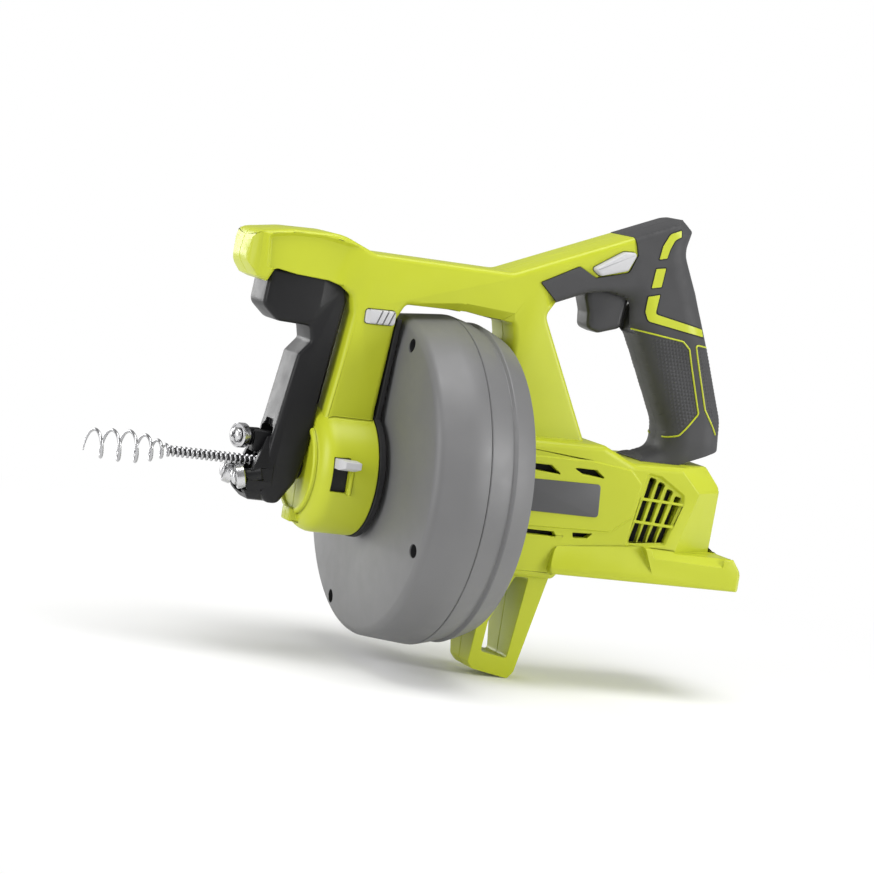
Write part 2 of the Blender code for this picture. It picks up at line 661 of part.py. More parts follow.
def motor(can_steel, copper, dark, steel, fan_plastic):
    """Gearbox plate, can, end cap, and the turning rotor with its sun gear and fan."""
    outer = RING_OUTER_RADIUS
    plate = turned("plate", [(30.0, 6.0), (30.0, outer), (33.0, outer), (33.0, 6.0)], 24)
    finish(plate, "gearbox_plate", dark)
    front = MOTOR_FRONT_X
    rear = MOTOR_REAR_X
    can = turned("can", [(front, 3.0), (front, MOTOR_RADIUS), (rear, MOTOR_RADIUS), (rear, MOTOR_RADIUS - 1.5),
                         (front + 1.5, MOTOR_RADIUS - 1.5), (front + 1.5, 3.0)], 24)
    finish(can, "motor_can", can_steel)
    cap = turned("cap", [(rear + GAP, 3.0), (rear + GAP, MOTOR_RADIUS), (rear + 4, MOTOR_RADIUS),
                         (rear + 4, 3.0)], 24)
    finish(cap, "motor_end_cap", dark)
    pivot = joint_empty("rotor_pivot", (60, 0, 0))
    shaft = SHAFT_RADIUS
    rotor = turned("rotor", [(17.8, 0.0), (17.8, shaft), (41.0, shaft), (41.0, 15.0), (82.0, 15.0), (82.0, 6.0),
                             (90.0, 6.0), (90.0, shaft), (106.5, shaft), (106.5, 0.0)], 14)
    finish(rotor, "motor_rotor", copper, pivot)
    sun = gear_prism("sun", gear_points(SUN_TEETH, 1, 0.0), GEAR_FRONT_X, GEAR_REAR_X)
    sun = cut(sun, rod("bore", shaft + GAP, (0, 0, 0), (60, 0, 0), 12))
    finish(sun, "sun_gear", steel, pivot)
    fan = turned("fan", [(98.0, shaft + GAP), (98.0, 18.0), (99.2, 18.0), (99.2, 5.0), (106.0, 5.0),
                         (106.0, shaft + GAP)], 16)
    for index in range(FAN_BLADES):
        angle = 2 * math.pi * index / FAN_BLADES
        inner = (102.5, 4.6 * math.cos(angle), 4.6 * math.sin(angle))
        outer = (102.5, 17.6 * math.cos(angle), 17.6 * math.sin(angle))
        fan = join(fan, fan_blade(inner, outer))
    finish(fan, "cooling_fan", fan_plastic, pivot)


def fan_blade(inner, outer):
    """A flat radial blade standing on the fan's disc."""
    inner = Vector(inner)
    outer = Vector(outer)
    length = (outer - inner).length
    bm = bmesh.new()
    bmesh.ops.create_cube(bm, size=1.0)
    bm.transform(Matrix.Diagonal((7.4 * MM, length * MM, 1.2 * MM, 1.0)))
    angle = math.atan2(outer.z - inner.z, outer.y - inner.y)
    bm.transform(Matrix.Translation((inner + outer) / 2 * MM) @ Matrix.Rotation(angle, 4, "X"))
    return solid_from_bmesh("blade", bm)


def bearings(steel):
    front = [(-83.5, DRUM_TUBE_RADIUS + GAP), (-83.5, 17.0), (-74.0, 17.0), (-74.0, DRUM_TUBE_RADIUS + GAP)]
    rear = [(4.8, 7.0 + GAP), (4.8, 13.0), (11.5, 13.0), (11.5, 7.0 + GAP)]
    finish(turned("front", front, 24), "front_bearing", steel)
    finish(turned("rear", rear, 24), "rear_bearing", steel)


# Cable path

def cable(cable_steel, drum_pivot):
    """The straight cable and its open-wound bulb tip, sliding forward out of the drum."""
    pivot = joint_empty("cable_pivot", (0, 0, 0))
    pivot.parent = drum_pivot
    core = rod("cable", CABLE_RADIUS, (CABLE_FRONT_X, 0, 0), (CABLE_REAR_X, 0, 0), 16)
    finish(core, "cable", cable_steel, pivot)
    curve = bpy.data.curves.new("bulb", "CURVE")
    curve.dimensions = "3D"
    curve.bevel_depth = BULB_WIRE_RADIUS * MM
    curve.bevel_resolution = 1
    curve.use_fill_caps = True
    spline = curve.splines.new("POLY")
    steps = BULB_TURNS * 12
    spline.points.add(steps)
    for step, point in enumerate(spline.points):
        t = step / steps
        angle = 2 * math.pi * BULB_TURNS * t
        opened = math.sin(min(1.0, t * 1.6) * math.pi / 2)
        swell = CABLE_RADIUS - 1.0 + (BULB_RADIUS - CABLE_RADIUS + 1.0) * opened
        x = CABLE_FRONT_X - GAP - BULB_WIRE_RADIUS + (BULB_FRONT_X - CABLE_FRONT_X + 2.0) * t
        point.co = (x * MM, swell * math.sin(angle) * MM, swell * math.cos(angle) * MM, 1.0)
    obj = bpy.data.objects.new("bulb", curve)
    SCRATCH.objects.link(obj)
    bpy.context.view_layer.update()
    finish(bake(obj), "bulb_tip", cable_steel, pivot)


def roller_axis(y, z):
    """The skewed spin axis of a roller whose centre lies at (y, z) from the cable."""
    radial = Vector((0.0, y, z)).normalized()
    return (Matrix.Rotation(math.radians(ROLLER_SKEW), 3, radial) @ Vector((-1.0, 0.0, 0.0))).normalized()


def roller(name, radius, y, z, steel, parent=None):
    """A ball-bearing roller, its pivot and the screw it turns on; returns the screw."""
    centre = Vector((ROLLER_X, y, z))
    axis = roller_axis(y, z)
    half = axis * ROLLER_WIDTH / 2
    pivot = joint_empty(f"{name}_pivot", centre)
    if parent:
        pivot.parent = parent
        pivot.matrix_parent_inverse = Matrix.Translation(parent.location).inverted()
    wheel = rod("wheel", radius, centre - half, centre + half, 20)
    wheel = cut(wheel, rod("bore", ROLLER_BORE + GAP, centre - half * 2, centre + half * 2, 12))
    finish(wheel, name, steel)
    wheel.parent = pivot
    wheel.matrix_parent_inverse = Matrix.Translation(centre * MM).inverted()
    return centre, axis


def roller_screw(name, centre, axis, length, head_radius, steel, parent=None):
    start = centre + axis * (ROLLER_WIDTH / 2 + GAP)
    head = rod("head", head_radius, start, start + axis * 2.2, 14)
    shank = rod("shank", ROLLER_BORE, start + axis * 0.5, centre - axis * length, 10)
    finish(join(head, shank), name, steel, parent)


def feed_head(black, steel):
    """The fixed guide in front of the nose, with the boss of the top roller."""
    centre, axis = roller("top_roller", TOP_ROLLER_RADIUS, 0.0, TOP_ROLLER_Z, steel)
    boss_start = centre - axis * (ROLLER_WIDTH / 2 + GAP)
    guide = rod("guide", 7.5, (-133, 0, 0), (NOSE_FRONT_X - GAP, 0, 0), 20)
    neck = block("neck", (-137, -3.5, 3), (NOSE_FRONT_X - GAP, 3.5, 17))
    boss = rod("boss", 3.9, boss_start, boss_start - axis * 8.5, 16)
    head = join(guide, neck, boss)
    head = cut(head, rod("cable_way", 4.6, (-150, 0, 0), (-90, 0, 0), 20),
               rod("screw_way", ROLLER_BORE + GAP, centre, centre - axis * 10.0, 10))
    finish(head, "feed_head", black)
    roller_screw("top_roller_screw", centre, axis, 9.5, 4.2, steel)


def feed_lever(black, steel, spring_steel):
    """The squeezed lever: trigger block, stem, roller shell, two rollers and their screws."""
    pivot = joint_empty("lever_pivot", (-120, 0, 60))
    stem = frame_prism("stem", LEVER, 11.5, 2.0)
    trigger_block = frame_prism("trigger_block", grown(BLOCK, 0.15), 13.2, 2.0)
    shell_outline = [corner for corner in LEVER if corner[1] <= 22]
    shell = frame_prism("shell", grown(shell_outline, 0.15), 13.6, 3.0)
    made = join(stem, trigger_block, shell)
    hollow = [(-150, -14.5, 0), (-150, 22, 2), (-100, 22, 2), (-100, -14.5, 0)]
    made = cut(made, frame_prism("hollow", hollow, 8.5, 0))
    bosses = []
    for side in (-1, 1):
        name = "left" if side < 0 else "right"
        y = side * LOW_ROLLER_Y
        centre, axis = roller(f"{name}_roller", LOW_ROLLER_RADIUS, y, LOW_ROLLER_Z, steel, pivot)
        start = centre - axis * (ROLLER_WIDTH / 2 + GAP)
        bosses.append((name, centre, axis))
        made = cut(made, rod("roller_room", LOW_ROLLER_RADIUS + 0.8, centre + axis * 8.0, start, 20))
        made = join(made, rod("boss", 3.6, start, start - axis * 8.0, 12))
    for name, centre, axis in bosses:
        made = cut(made, rod("screw_way", ROLLER_BORE + GAP, centre, centre - axis * 9.5, 10))
        roller_screw(f"{name}_roller_screw", centre, axis, 9.0, 3.4, steel, pivot)
    finish(made, "feed_lever", black, pivot)
    finish(spring((-128, 0, 109 + GAP + 0.8), (-128, 0, 124.2), 3.8, 0.6, 5), "lever_spring", spring_steel)


def spring(start, end, radius, wire, turns):
    """A compression spring between two points."""
    start = Vector(start)
    end = Vector(end)
    axis = (end - start).normalized()
    side = axis.orthogonal().normalized()
    other = axis.cross(side)
    curve = bpy.data.curves.new("spring", "CURVE")
    curve.dimensions = "3D"
    curve.bevel_depth = wire * MM
    curve.bevel_resolution = 0
    curve.use_fill_caps = True
    spline = curve.splines.new("POLY")
    steps = turns * 8
    spline.points.add(steps)
    for step, point in enumerate(spline.points):
        angle = 2 * math.pi * turns * step / steps
        place = start.lerp(end, step / steps) + (side * math.cos(angle) + other * math.sin(angle)) * radius
        point.co = (*(place * MM), 1.0)
    obj = bpy.data.objects.new("spring", curve)
    SCRATCH.objects.link(obj)
    bpy.context.view_layer.update()
    return bake(obj)


def cable_clamp(switch_plastic, steel):
    """The clamp's slider with its finger knob, and the jaw that it wedges up under the cable."""
    slider_pivot = joint_empty("clamp_slider_pivot", (-94.7, -34, 6))
    plate = block("plate", (-100.4, -28.2, -7.5), (-89.1, -26.2, 14.4))
    knob = block("knob", (-98.9, -44.0, 5.0), (-90.6, -27, 10.0), 0.8)
    finish(join(plate, knob), "clamp_slider", switch_plastic, slider_pivot)
    jaw_pivot = joint_empty("clamp_jaw_pivot", (-94.5, 0, -10))
    jaw = block("jaw", (-99.0, -8.0, -16.5), (-90.0, 8.0, -6.4))
    jaw = cut(jaw, rod("saddle", CABLE_RADIUS + 0.2, (-120, 0, -5.6), (-80, 0, -5.6), 16))
    finish(jaw, "clamp_jaw", steel, jaw_pivot)


def drum_shield(black):
    """The thin black plate on the back of the column and nose, facing the drum."""
    ring = turned("shield", [(-72.7, 18.0), (-72.7, 36.0), (-69.2, 36.0), (-69.2, 18.0)], 28)
    outline = [(-72.3, 27, 0), (-72.3, 30, 0), (-68.3, 86, 0), (-67.2, 86, 0), (-69.1, 40, 0), (-69.1, 27, 0)]
    strip = frame_prism("strip", outline, 16.0, 0)
    finish(join(ring, strip), "drum_shield", black)


# Switches and electrics

def auto_feed_switch(switch_plastic):
    pivot = joint_empty("auto_feed_pivot", (-79, -17, 90))
    made = prism("switch", AUTO_SWITCH, -19.5, 15.5, 0.8)
    finish(made, "auto_feed_switch", switch_plastic, pivot)


def direction_button(switch_plastic):
    pivot = joint_empty("direction_pivot", (60, 0, 138))
    made = prism("button", BUTTON, -22.0, 22.0, 1.0)
    finish(made, "direction_button", switch_plastic, pivot)


def trigger(black, spring_steel, dark):
    pivot = joint_empty("trigger_pivot", (64, 0, 112))
    made = frame_prism("trigger", TRIGGER, 8.4, 2.5)
    finish(made, "trigger", black, pivot)
    finish(spring((77.5 + GAP + 0.7, 0, 118), (89.3, 0, 118), 3.0, 0.5, 4), "trigger_spring", spring_steel)
    finish(block("switch", (90.3, -9.5, 106.0), (103.5, 9.5, 128.0), 0.8), "switch_module", dark)


def terminals(dark):
    """The battery contact block in the roof of the battery bay, with two blades."""
    base = block("base", (112, -14, -36), (128, 14, -30 - GAP), 0.6)
    blades = [block("blade", (114, y - 0.6, -41.5), (126, y + 0.6, -35.5)) for y in (-9, 9)]
    finish(join(base, *blades), "terminal_block", dark)


def label_plates(dark):
    """Plain dark plates on the sides of the body."""
    corners = [(20, -7, 0), (20, 11, 0), (65.5, 12, 3), (67, -7, 3)]
    for name, side in (("left_label_plate", -1), ("right_label_plate", 1)):
        near = side * (BODY_HALF_WIDTH + GAP)
        far = side * (BODY_HALF_WIDTH + GAP + 1.2)
        finish(prism("plate", corners, min(near, far), max(near, far), 0.4, 1), name, dark)


def place_on_ground():
    """Moves everything from the spindle's frame to the frame on the ground."""
    for obj in PARTS.objects:
        if obj.parent is None:
            obj.location += Vector((SPINDLE_X, 0.0, SPINDLE_Z)) * MM


def build():
    lime = material("lime_plastic", (0.55, 0.63, 0.04), 0.35)
    rubber = material("grip_rubber", (0.10, 0.10, 0.10), 0.75)
    black = material("black_plastic", (0.02, 0.02, 0.02), 0.45)
    grey = material("drum_plastic", (0.20, 0.20, 0.20), 0.50)
    pale = material("switch_plastic", (0.60, 0.60, 0.60), 0.40)
    dark = material("dark_plastic", (0.06, 0.06, 0.07), 0.50)
    steel = material("bright_steel", (0.62, 0.62, 0.62), 0.25, 1.0)
    wire = material("cable_steel", (0.50, 0.50, 0.50), 0.30, 1.0)
    can = material("motor_steel", (0.35, 0.35, 0.36), 0.40, 1.0)
    copper = material("copper", (0.70, 0.36, 0.20), 0.35, 1.0)
    housing_halves(lime)
    grip_halves(rubber)
    housing_screws(steel)
    drum_pivot = drum(grey, steel, wire, dark)
    planets(steel, drum_pivot)
    ring_gear(steel)
    motor(can, copper, dark, steel, black)
    bearings(steel)
    cable(wire, drum_pivot)
    feed_head(black, steel)
    feed_lever(black, steel, wire)
    cable_clamp(pale, steel)
    drum_shield(black)
    auto_feed_switch(pale)
    direction_button(pale)
    trigger(black, wire, dark)
    terminals(dark)
    label_plates(dark)


for leftover in list(bpy.data.objects):
    bpy.data.objects.remove(leftover, do_unlink=True)
PARTS = collection("drain_auger")
SCRATCH = collection("scratch")
build()
place_on_ground()
bpy.context.view_layer.update()
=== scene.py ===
"""Looks of the cordless drum drain auger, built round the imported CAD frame.

Outlines are in millimetres in the plane of X and Z, measured from the drum's spindle in the plane
of the drum's rear rim, as the CAD's are. Each corner is (x, z, radius). SPINDLE moves each finished
piece into the row frame.
"""
import json
import math

import bmesh
import bpy
from mathutils import Matrix, Vector
from mathutils.geometry import delaunay_2d_cdt


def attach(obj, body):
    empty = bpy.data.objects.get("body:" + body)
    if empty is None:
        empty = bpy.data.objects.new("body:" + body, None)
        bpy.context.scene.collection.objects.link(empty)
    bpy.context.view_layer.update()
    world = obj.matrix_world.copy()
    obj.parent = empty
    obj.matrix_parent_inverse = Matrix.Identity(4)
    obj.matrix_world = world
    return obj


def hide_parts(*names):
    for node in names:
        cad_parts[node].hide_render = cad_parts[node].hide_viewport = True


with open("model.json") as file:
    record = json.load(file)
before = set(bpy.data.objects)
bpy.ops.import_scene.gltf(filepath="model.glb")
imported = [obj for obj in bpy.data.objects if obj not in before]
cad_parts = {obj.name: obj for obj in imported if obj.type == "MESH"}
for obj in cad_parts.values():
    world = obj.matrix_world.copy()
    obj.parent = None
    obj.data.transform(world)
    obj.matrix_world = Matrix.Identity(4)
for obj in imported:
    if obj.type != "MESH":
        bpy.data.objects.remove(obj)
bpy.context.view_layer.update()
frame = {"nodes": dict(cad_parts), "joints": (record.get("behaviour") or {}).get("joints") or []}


def joint_of(name):
    """The frame's joint with this name."""
    return next(joint for joint in frame["joints"] if joint["name"] == name)


MM = 0.001
SPINDLE = Vector(joint_of("drum_spin")["pos_m"])

SEAM = 0.08                     # half of the gap between the halves
FRAME_EDGE = 3.0
FRAME_HALF = 17.9
BODY_HALF = 33.0
BODY_WALL = 5.0
FOOT_HALF = 38.0
GRIP_HALF = 19.0
NOSE_RADIUS = 36.5
NOSE_FRONT = -107.0
NOSE_REAR = -73.0
DRUM_RADIUS = 94.9
DRUM_SCREW_CIRCLE = 83.2
DRUM_SCREW_ANGLES = (68.0, -22.0, -112.0, 158.0)
VENT_DEPTHS = (27, 40)          # from inside the body's wall to outside it
LEVER_ROOM_HALF = 13.8
BAY_HALF = 29
PAST_GRIP = 30                  # half widths of through cutters
PAST_BODY = 60

CABLE_RADIUS = 3.2
CABLE_START = -44.0
CABLE_END = -183.0              # where the tight winding opens into the bulb
CABLE_TURNS = 49
CABLE_PITCH = (CABLE_START - CABLE_END) / CABLE_TURNS

ROLLER_X = -144.0
ROLLER_HALF = 2.5
ROLLER_GAP = 0.35               # between a roller and the faces on both sides of it
TOP_ROLLER = 7.0
TOP_ROLLER_Z = 13.2
LOW_ROLLER = 6.8
LOW_ROLLER_Y = 9.4
LOW_ROLLER_Z = -8.6

FRAME = [(-161, 112, 9), (-158.5, 128, 8), (-136, 131.5, 30), (-108, 132.5, 30), (-87, 124.5, 14),
         (-2, 124.6, 14), (72, 155.5, 0), (103, 168, 0), (109.5, 163, 0), (107, 150, 12), (76, 131, 0),
         (60, 124.5, 0), (46, 121.5, 4), (28, 112, 4), (22.5, 103, 6), (59, 34, 4), (64, 20, 0),
         (64, -20, 0), (5, -20, 0), (5, 88, 0), (3, 96.5, 4), (-14, 97.5, 4), (-26, 99, 4),
         (-64, 98.5, 4), (-68.5, 90, 0), (-73.1, 37, 0), (-73.1, 18, 0), (-104.5, 18, 0),
         (-98.5, 60, 0), (-95, 90, 0), (-97, 99, 6), (-104, 104, 8), (-112, 106, 6), (-131, 107, 6),
         (-144, 109, 2), (-148, 101, 0), (-154, 103, 0)]
HANDLE_PLAN = [(-161, -FRAME_HALF, 12), (-161, FRAME_HALF, 12), (40, FRAME_HALF, 0),
               (120, FRAME_HALF, 0), (120, -FRAME_HALF, 0), (40, -FRAME_HALF, 0)]
HANDLE_INSET = [(-147.5, 109, 0), (-149, 125.5, 2), (-138, 127.6, 20), (-121, 128.6, 20),
                (-101.5, 125.8, 1.5), (-110.5, 100, 0)]
HANDLE_INSET_RIM = [(-149.6, 109, 0), (-151.2, 127.2, 3), (-138, 129.8, 20), (-121, 130.8, 20),
                    (-92.5, 126.8, 3), (-101.0, 100, 0)]
RAIL_FACET = [(-58, 98.2, 1), (-30, 99.0, 20), (-3, 97.5, 1), (-3, 90, 0), (-58, 90, 0)]
RAIL_FACET_RIM = [(-63, 99.6, 1), (-30, 103.8, 20), (2.5, 102.2, 1), (5, 90, 0), (-63, 90, 0)]
BODY = [(5, -46, 0), (5, 33, 5), (66, 34.5, 6), (86, 26, 8), (140, 28, 5), (152.5, 16, 5),
        (153, -28, 0), (60, -28, 0), (46, -46, 5)]
BODY_HOLLOW = [(12.5, -27, 0), (12.5, 29, 0), (64, 30, 0), (86, 21.5, 0), (107, 20.5, 0), (107, -27, 0)]
BODY_PANEL = [(8, 24, 0), (60, 24.5, 3), (84, 22, 3), (91.5, 15, 2), (89.5, -4, 3), (76, -14.6, 3),
              (8, -16, 0)]
BODY_VENTS = ([(12, 20, 0), (33, 20, 0.6), (40, 15.2, 0.6), (12, 17.0, 0)],
              [(47, 20, 0.6), (62, 20, 0.6), (68, 15.6, 0.6), (53, 17, 0.6)],
              [(14, -18, 0), (41, -18, 0.6), (43, -20.8, 0.6), (14, -20.6, 0)],
              [(53, -17.4, 0.6), (66, -17, 0.6), (62.5, -19.8, 0.6), (54, -20.4, 0.6)])
GRILLE = [(96.5, 20.5, 1), (104, 19.5, 1), (120, 10.5, 1), (120.5, 7, 1), (112.5, -18.5, 1),
          (89.5, -21, 1)]
# painted shade: outline of the dark screens behind the grilles and vents
SHADE_SCREEN = [(13, -26.5, 0), (13, 28.5, 0), (64, 29.5, 0), (86, 21, 0), (119, 10.5, 0), (114, -19.5, 0),
          (106, -26.5, 0)]
FOOT = [(39, -42, 4), (43, -26, 4), (96, -21, 2), (158, -23, 2), (165, -32, 2), (165, -42, 2)]
STAND = [(8, -40, 0), (9.5, -101, 3), (13, -105, 3), (37, -109.5, 2), (40, -105, 2), (45.5, -46, 0),
         (47, -20, 0), (40.5, -20, 0), (38, -40, 0)]
STAND_TAPER = [(-34.6, -16), (34.6, -16), (11.0, -110), (-11.0, -110)]
STAND_OPENING = [(24.5, -47, 2), (33, -47, 2), (33, -97, 2), (16, -94, 2), (15.5, -75, 3)]

GRIP_REAR = [(110.4, 163, 3), (107.8, 150, 14), (119.8, 128, 30), (136.8, 89, 30), (149.8, 56, 20)]
GRIP_FRONT = [(113, 34.5, 8), (112.2, 48, 16), (85.4, 97.2, 8), (78.6, 103.5, 3), (76.5, 118, 7),
              (60, 121.5, 4), (46, 118.9, 3)]
OVERMOULD = [(15.5, 121.5, 0), (38, 133.5, 0), (49, 128.3, 1), (69.5, 134, 3), (73.5, 144.5, 0),
             (72, 150, 0), (70, 154.9, 0), (103, 168.8, 2), *GRIP_REAR, (151.3, 38, 6), (141, 35, 8),
             (121, 27, 6), (96, 26.3, 2), (101, 30, 4), *GRIP_FRONT, (27.5, 111, 0)]
GRIP_TOP_EDGE = [(70, 154.9, 0), (103, 168.8, 0)]
GRIP_REAR_EDGE = [(103, 168.8, 0), *GRIP_REAR, (151.3, 38, 0)]
GRIP_FRONT_EDGE = [(101, 30, 0), *GRIP_FRONT, (27.5, 111, 0)]
TRIGGER_ROOM = [(40, 126, 0), (40, 90, 0), (77.5, 90, 0), (84.8, 100.5, 3), (87, 126, 3)]
MAIN_PANEL = [(74, 99, 1), (81, 102, 1), (111, 99, 2), (116, 95, 2), (129, 58, 2), (119, 44, 3),
              (113, 41.6, 2), (104, 42, 0)]
REAR_PANEL = [(130, 97, 0), (120, 98, 1.5), (133, 61, 3), (143.5, 47, 0)]
ACCENTS = {"upper": [(98.5, 162.5, 0.4), (91.5, 159.5, 4), (88, 152, 4), (87, 144.2, 0.4),
                     (91.6, 145.4, 0.4), (92.8, 151, 4), (95, 156.5, 4), (98.8, 158.8, 0.4)],
           "middle": [(86, 138.5, 0.4), (92, 139.6, 0.4), (91, 128.6, 0.4), (85, 127.2, 0.4)],
           "lower": [(84, 122, 0.4), (91, 124, 0.4), (90, 112.6, 2), (125, 107, 0.4),
                     (126, 102.8, 0.4), (86.5, 108, 3), (84.2, 113, 2)]}

LEVER_FRONT = [(-145, 109, 0), (-146.5, 88, 6), (-137, 80, 7), (-117.5, 79.5, 3), (-115.5, 71, 3),
               (-122, 63, 3), (-128.5, 22, 0)]
LEVER_TOE = [(-131.5, 0, 0), (-132.5, -15, 3), (-128, -21.5, 5)]
LEVER_HEEL = [(-121, -21.5, 5), (-112, -8, 8), (-107.8, 10, 0)]
LEVER_BACK = [(-107.2, 22, 0), (-97.8, 96, 3), (-100, 104, 5), (-112, 109, 0)]
LEVER = [*LEVER_FRONT, (-136, 16, 2), (-140.5, -8, 0), (-141.5, -16, 3), (-136.5, -21.5, 3),
         *LEVER_HEEL, *LEVER_BACK]
LEVER_SWEEP = [(-146.2, 92, 0), (-146.2, 117, 2), (-98, 117, 2), (-97, 104, 2), (-96.3, 80, 0)]
LEVER_BLOCK = [(-145, 109, 0), (-146.5, 88, 6), (-137, 80, 7), (-116, 79.5, 5), (-111, 90, 4),
               (-110.5, 109, 0)]
LEVER_HOLLOW = [(-150, -14.5, 3), (-150, 12, 0), (-134, 12, 0), (-131, 20.5, 2), (-104, 20.5, 0),
                (-104, -14.5, 3)]
COLLAR_SIDE = [(-127, 23, 0), (-129.0, 22, 0), (-140.5, -8, 6), (-141.8, -16, 4), (-136.5, -21.7, 4),
               (-126, -21.7, 0)]
TRIGGER = [(50, 124, 0), (49.5, 116, 0), (52.5, 108, 8), (53.5, 98.5, 4.5), (61, 96.5, 5),
           (75, 101.0, 4.5), (77.5, 124, 0)]
BUTTON = [(45.5, 133.5, 2), (51, 130, 1), (67.5, 135, 2), (71.5, 144, 1), (70.5, 146, 1), (64, 145.5, 2)]
AUTO_SWITCH = [(-88, 93.5, 2), (-70.5, 94, 2), (-70.5, 86, 2), (-88, 85.5, 2)]
LABEL_PLATE = [(8, -7.2, 0), (8, 11.2, 0), (65.5, 12, 2.4), (67, -7.2, 2.4)]


# Mesh helpers

def rounded(corners, steps=5, least=0.15):
    """Turns (x, z, radius) corners into outline points, with a curve at each rounded one."""
    points = []
    for index, (x, z, radius) in enumerate(corners):
        here = Vector((x, z))
        before = Vector(corners[index - 1][:2]) - here
        after = Vector(corners[(index + 1) % len(corners)][:2]) - here
        half_angle = before.angle(after) / 2
        reach = radius / math.tan(half_angle) if radius else 0.0
        reach = min(reach, before.length * 0.48, after.length * 0.48)
        if reach < least or half_angle > 1.57 - least / 10:
            points.append((x, z))
            continue
        start = here + before.normalized() * reach
        end = here + after.normalized() * reach
        for step in range(steps + 1):
            t = step / steps
            points.append(tuple(start.lerp(here, t).lerp(here.lerp(end, t), t)))
    return points


def grown(corners, amount):
    """An outline moved outwards by an amount, corner by corner."""
    area = sum(a[0] * b[1] - b[0] * a[1] for a, b in zip(corners, corners[1:] + corners[:1]))
    sign = 1.0 if area > 0 else -1.0
    moved = []
    for index, (x, z, radius) in enumerate(corners):
        here = Vector((x, z))
        along = (here - Vector(corners[index - 1][:2])).normalized()
        onward = (Vector(corners[(index + 1) % len(corners)][:2]) - here).normalized()
        middle = (along + onward).normalized()
        cosine = math.sqrt(max(0.0, (1 + along.dot(onward)) / 2))
        shift = sign * amount / max(0.45, cosine)
        moved.append((x + middle.y * shift, z - middle.x * shift, radius + amount if radius else 0))
    return moved


def at_x(x, points):
    """Points of Y and Z placed at one X."""
    return [(x, y, z) for y, z in points]


def at_y(y, points):
    """Points of X and Z placed at one Y."""
    return [(x, y, z) for x, z in points]


def at_z(z, points):
    """Points of X and Y placed at one Z."""
    return [(x, y, z) for x, y in points]


def linked(name, data):
    """A new object in the scene."""
    obj = bpy.data.objects.new(name, data)
    bpy.context.scene.collection.objects.link(obj)
    return obj


def from_bmesh(name, bm, outwards=True):
    """Puts a bmesh into a new object."""
    if outwards:
        bmesh.ops.recalc_face_normals(bm, faces=bm.faces)
    mesh = bpy.data.meshes.new(name)
    bm.to_mesh(mesh)
    bm.free()
    return linked(name, mesh)


def loft(name, rings, edge=0.0, segments=3):
    """A closed solid through rings of equally many (x, y, z) points, in millimetres."""
    bm = bmesh.new()
    loops = [[bm.verts.new(Vector(point) * MM) for point in ring] for ring in rings]
    caps = [bm.faces.new(loops[0]), bm.faces.new(loops[-1])]
    for lower, upper in zip(loops, loops[1:]):
        for index in range(len(lower)):
            bm.faces.new((lower[index - 1], lower[index], upper[index], upper[index - 1]))
    bmesh.ops.recalc_face_normals(bm, faces=bm.faces)
    if edge:
        rims = list({rim for cap in caps for rim in cap.edges})
        bmesh.ops.bevel(bm, geom=rims, offset=edge * MM, segments=segments, profile=0.5, affect="EDGES")
    return from_bmesh(name, bm)


def prism(name, corners, low, high, edge=0.0, segments=3, steps=5):
    """An outline in X and Z between two values of Y, with rounded cap edges."""
    corners = [(x, z, max(radius, 1.15 * edge) if radius else 0.0) for x, z, radius in corners]
    points = rounded(corners, steps)
    return loft(name, [at_y(low, points), at_y(high, points)], edge, segments)


def plate(name, corners, half, edge=0.0, segments=3):
    """A prism with the same half width on both sides of the middle plane."""
    return prism(name, corners, -half, half, edge, segments)


def side_prism(name, corners, side, depths, edge=0.0, segments=3, steps=5):
    """A prism between two distances from the middle plane; side -1 is the left, at -Y."""
    low, high = sorted(side * depth for depth in depths)
    return prism(name, corners, low, high, edge, segments, steps)


def pocket(name, floor, rim, floor_y, rim_y):
    """A cutter with sloping walls: its floor outline at one depth and its rim outline at another."""
    rings = [at_y(y, rounded(corners, 4, 0.001)) for corners, y in ((floor, floor_y), (rim, rim_y))]
    return loft(name, rings)


def turned(name, profile, steps=96, centre=(0.0, 0.0, 0.0), axis=(1.0, 0.0, 0.0)):
    """A closed profile of (along, radius) points turned about an axis through a centre."""
    turn = Vector((1.0, 0.0, 0.0)).rotation_difference(Vector(axis)).to_matrix()
    bm = bmesh.new()
    rings = []
    for along, radius in profile:
        count = steps if radius > 1e-6 else 1
        ring = []
        for step in range(count):
            angle = 2 * math.pi * step / steps
            offset = Vector((along, radius * math.cos(angle), radius * math.sin(angle)))
            ring.append(bm.verts.new((Vector(centre) + turn @ offset) * MM))
        rings.append(ring)
    for index, ring in enumerate(rings):
        before = rings[index - 1]
        if len(ring) == 1 and len(before) == 1:
            continue
        for step in range(steps):
            quad = [before[(step + 1) % len(before)], before[step % len(before)], ring[step % len(ring)],
                    ring[(step + 1) % len(ring)]]
            bm.faces.new(list(dict.fromkeys(quad)))
    return from_bmesh(name, bm)


def rod(name, radius, start, end, steps=32):
    """A round rod between two points."""
    start = Vector(start)
    axis = Vector(end) - start
    length = axis.length
    profile = [(0, 0), (0, radius), (length, radius), (length, 0)]
    return turned(name, profile, steps, start, axis.normalized())


def block(name, low, high, edge=0.0):
    """A box between two opposite corners, with rounded edges."""
    low = Vector(low)
    high = Vector(high)
    bm = bmesh.new()
    bmesh.ops.create_cube(bm, size=1.0)
    bm.transform(Matrix.Translation((low + high) / 2 * MM) @ Matrix.Diagonal((*((high - low) * MM), 1.0)))
    if edge:
        bmesh.ops.bevel(bm, geom=bm.edges, offset=edge * MM, segments=2, profile=0.5, affect="EDGES")
    return from_bmesh(name, bm)


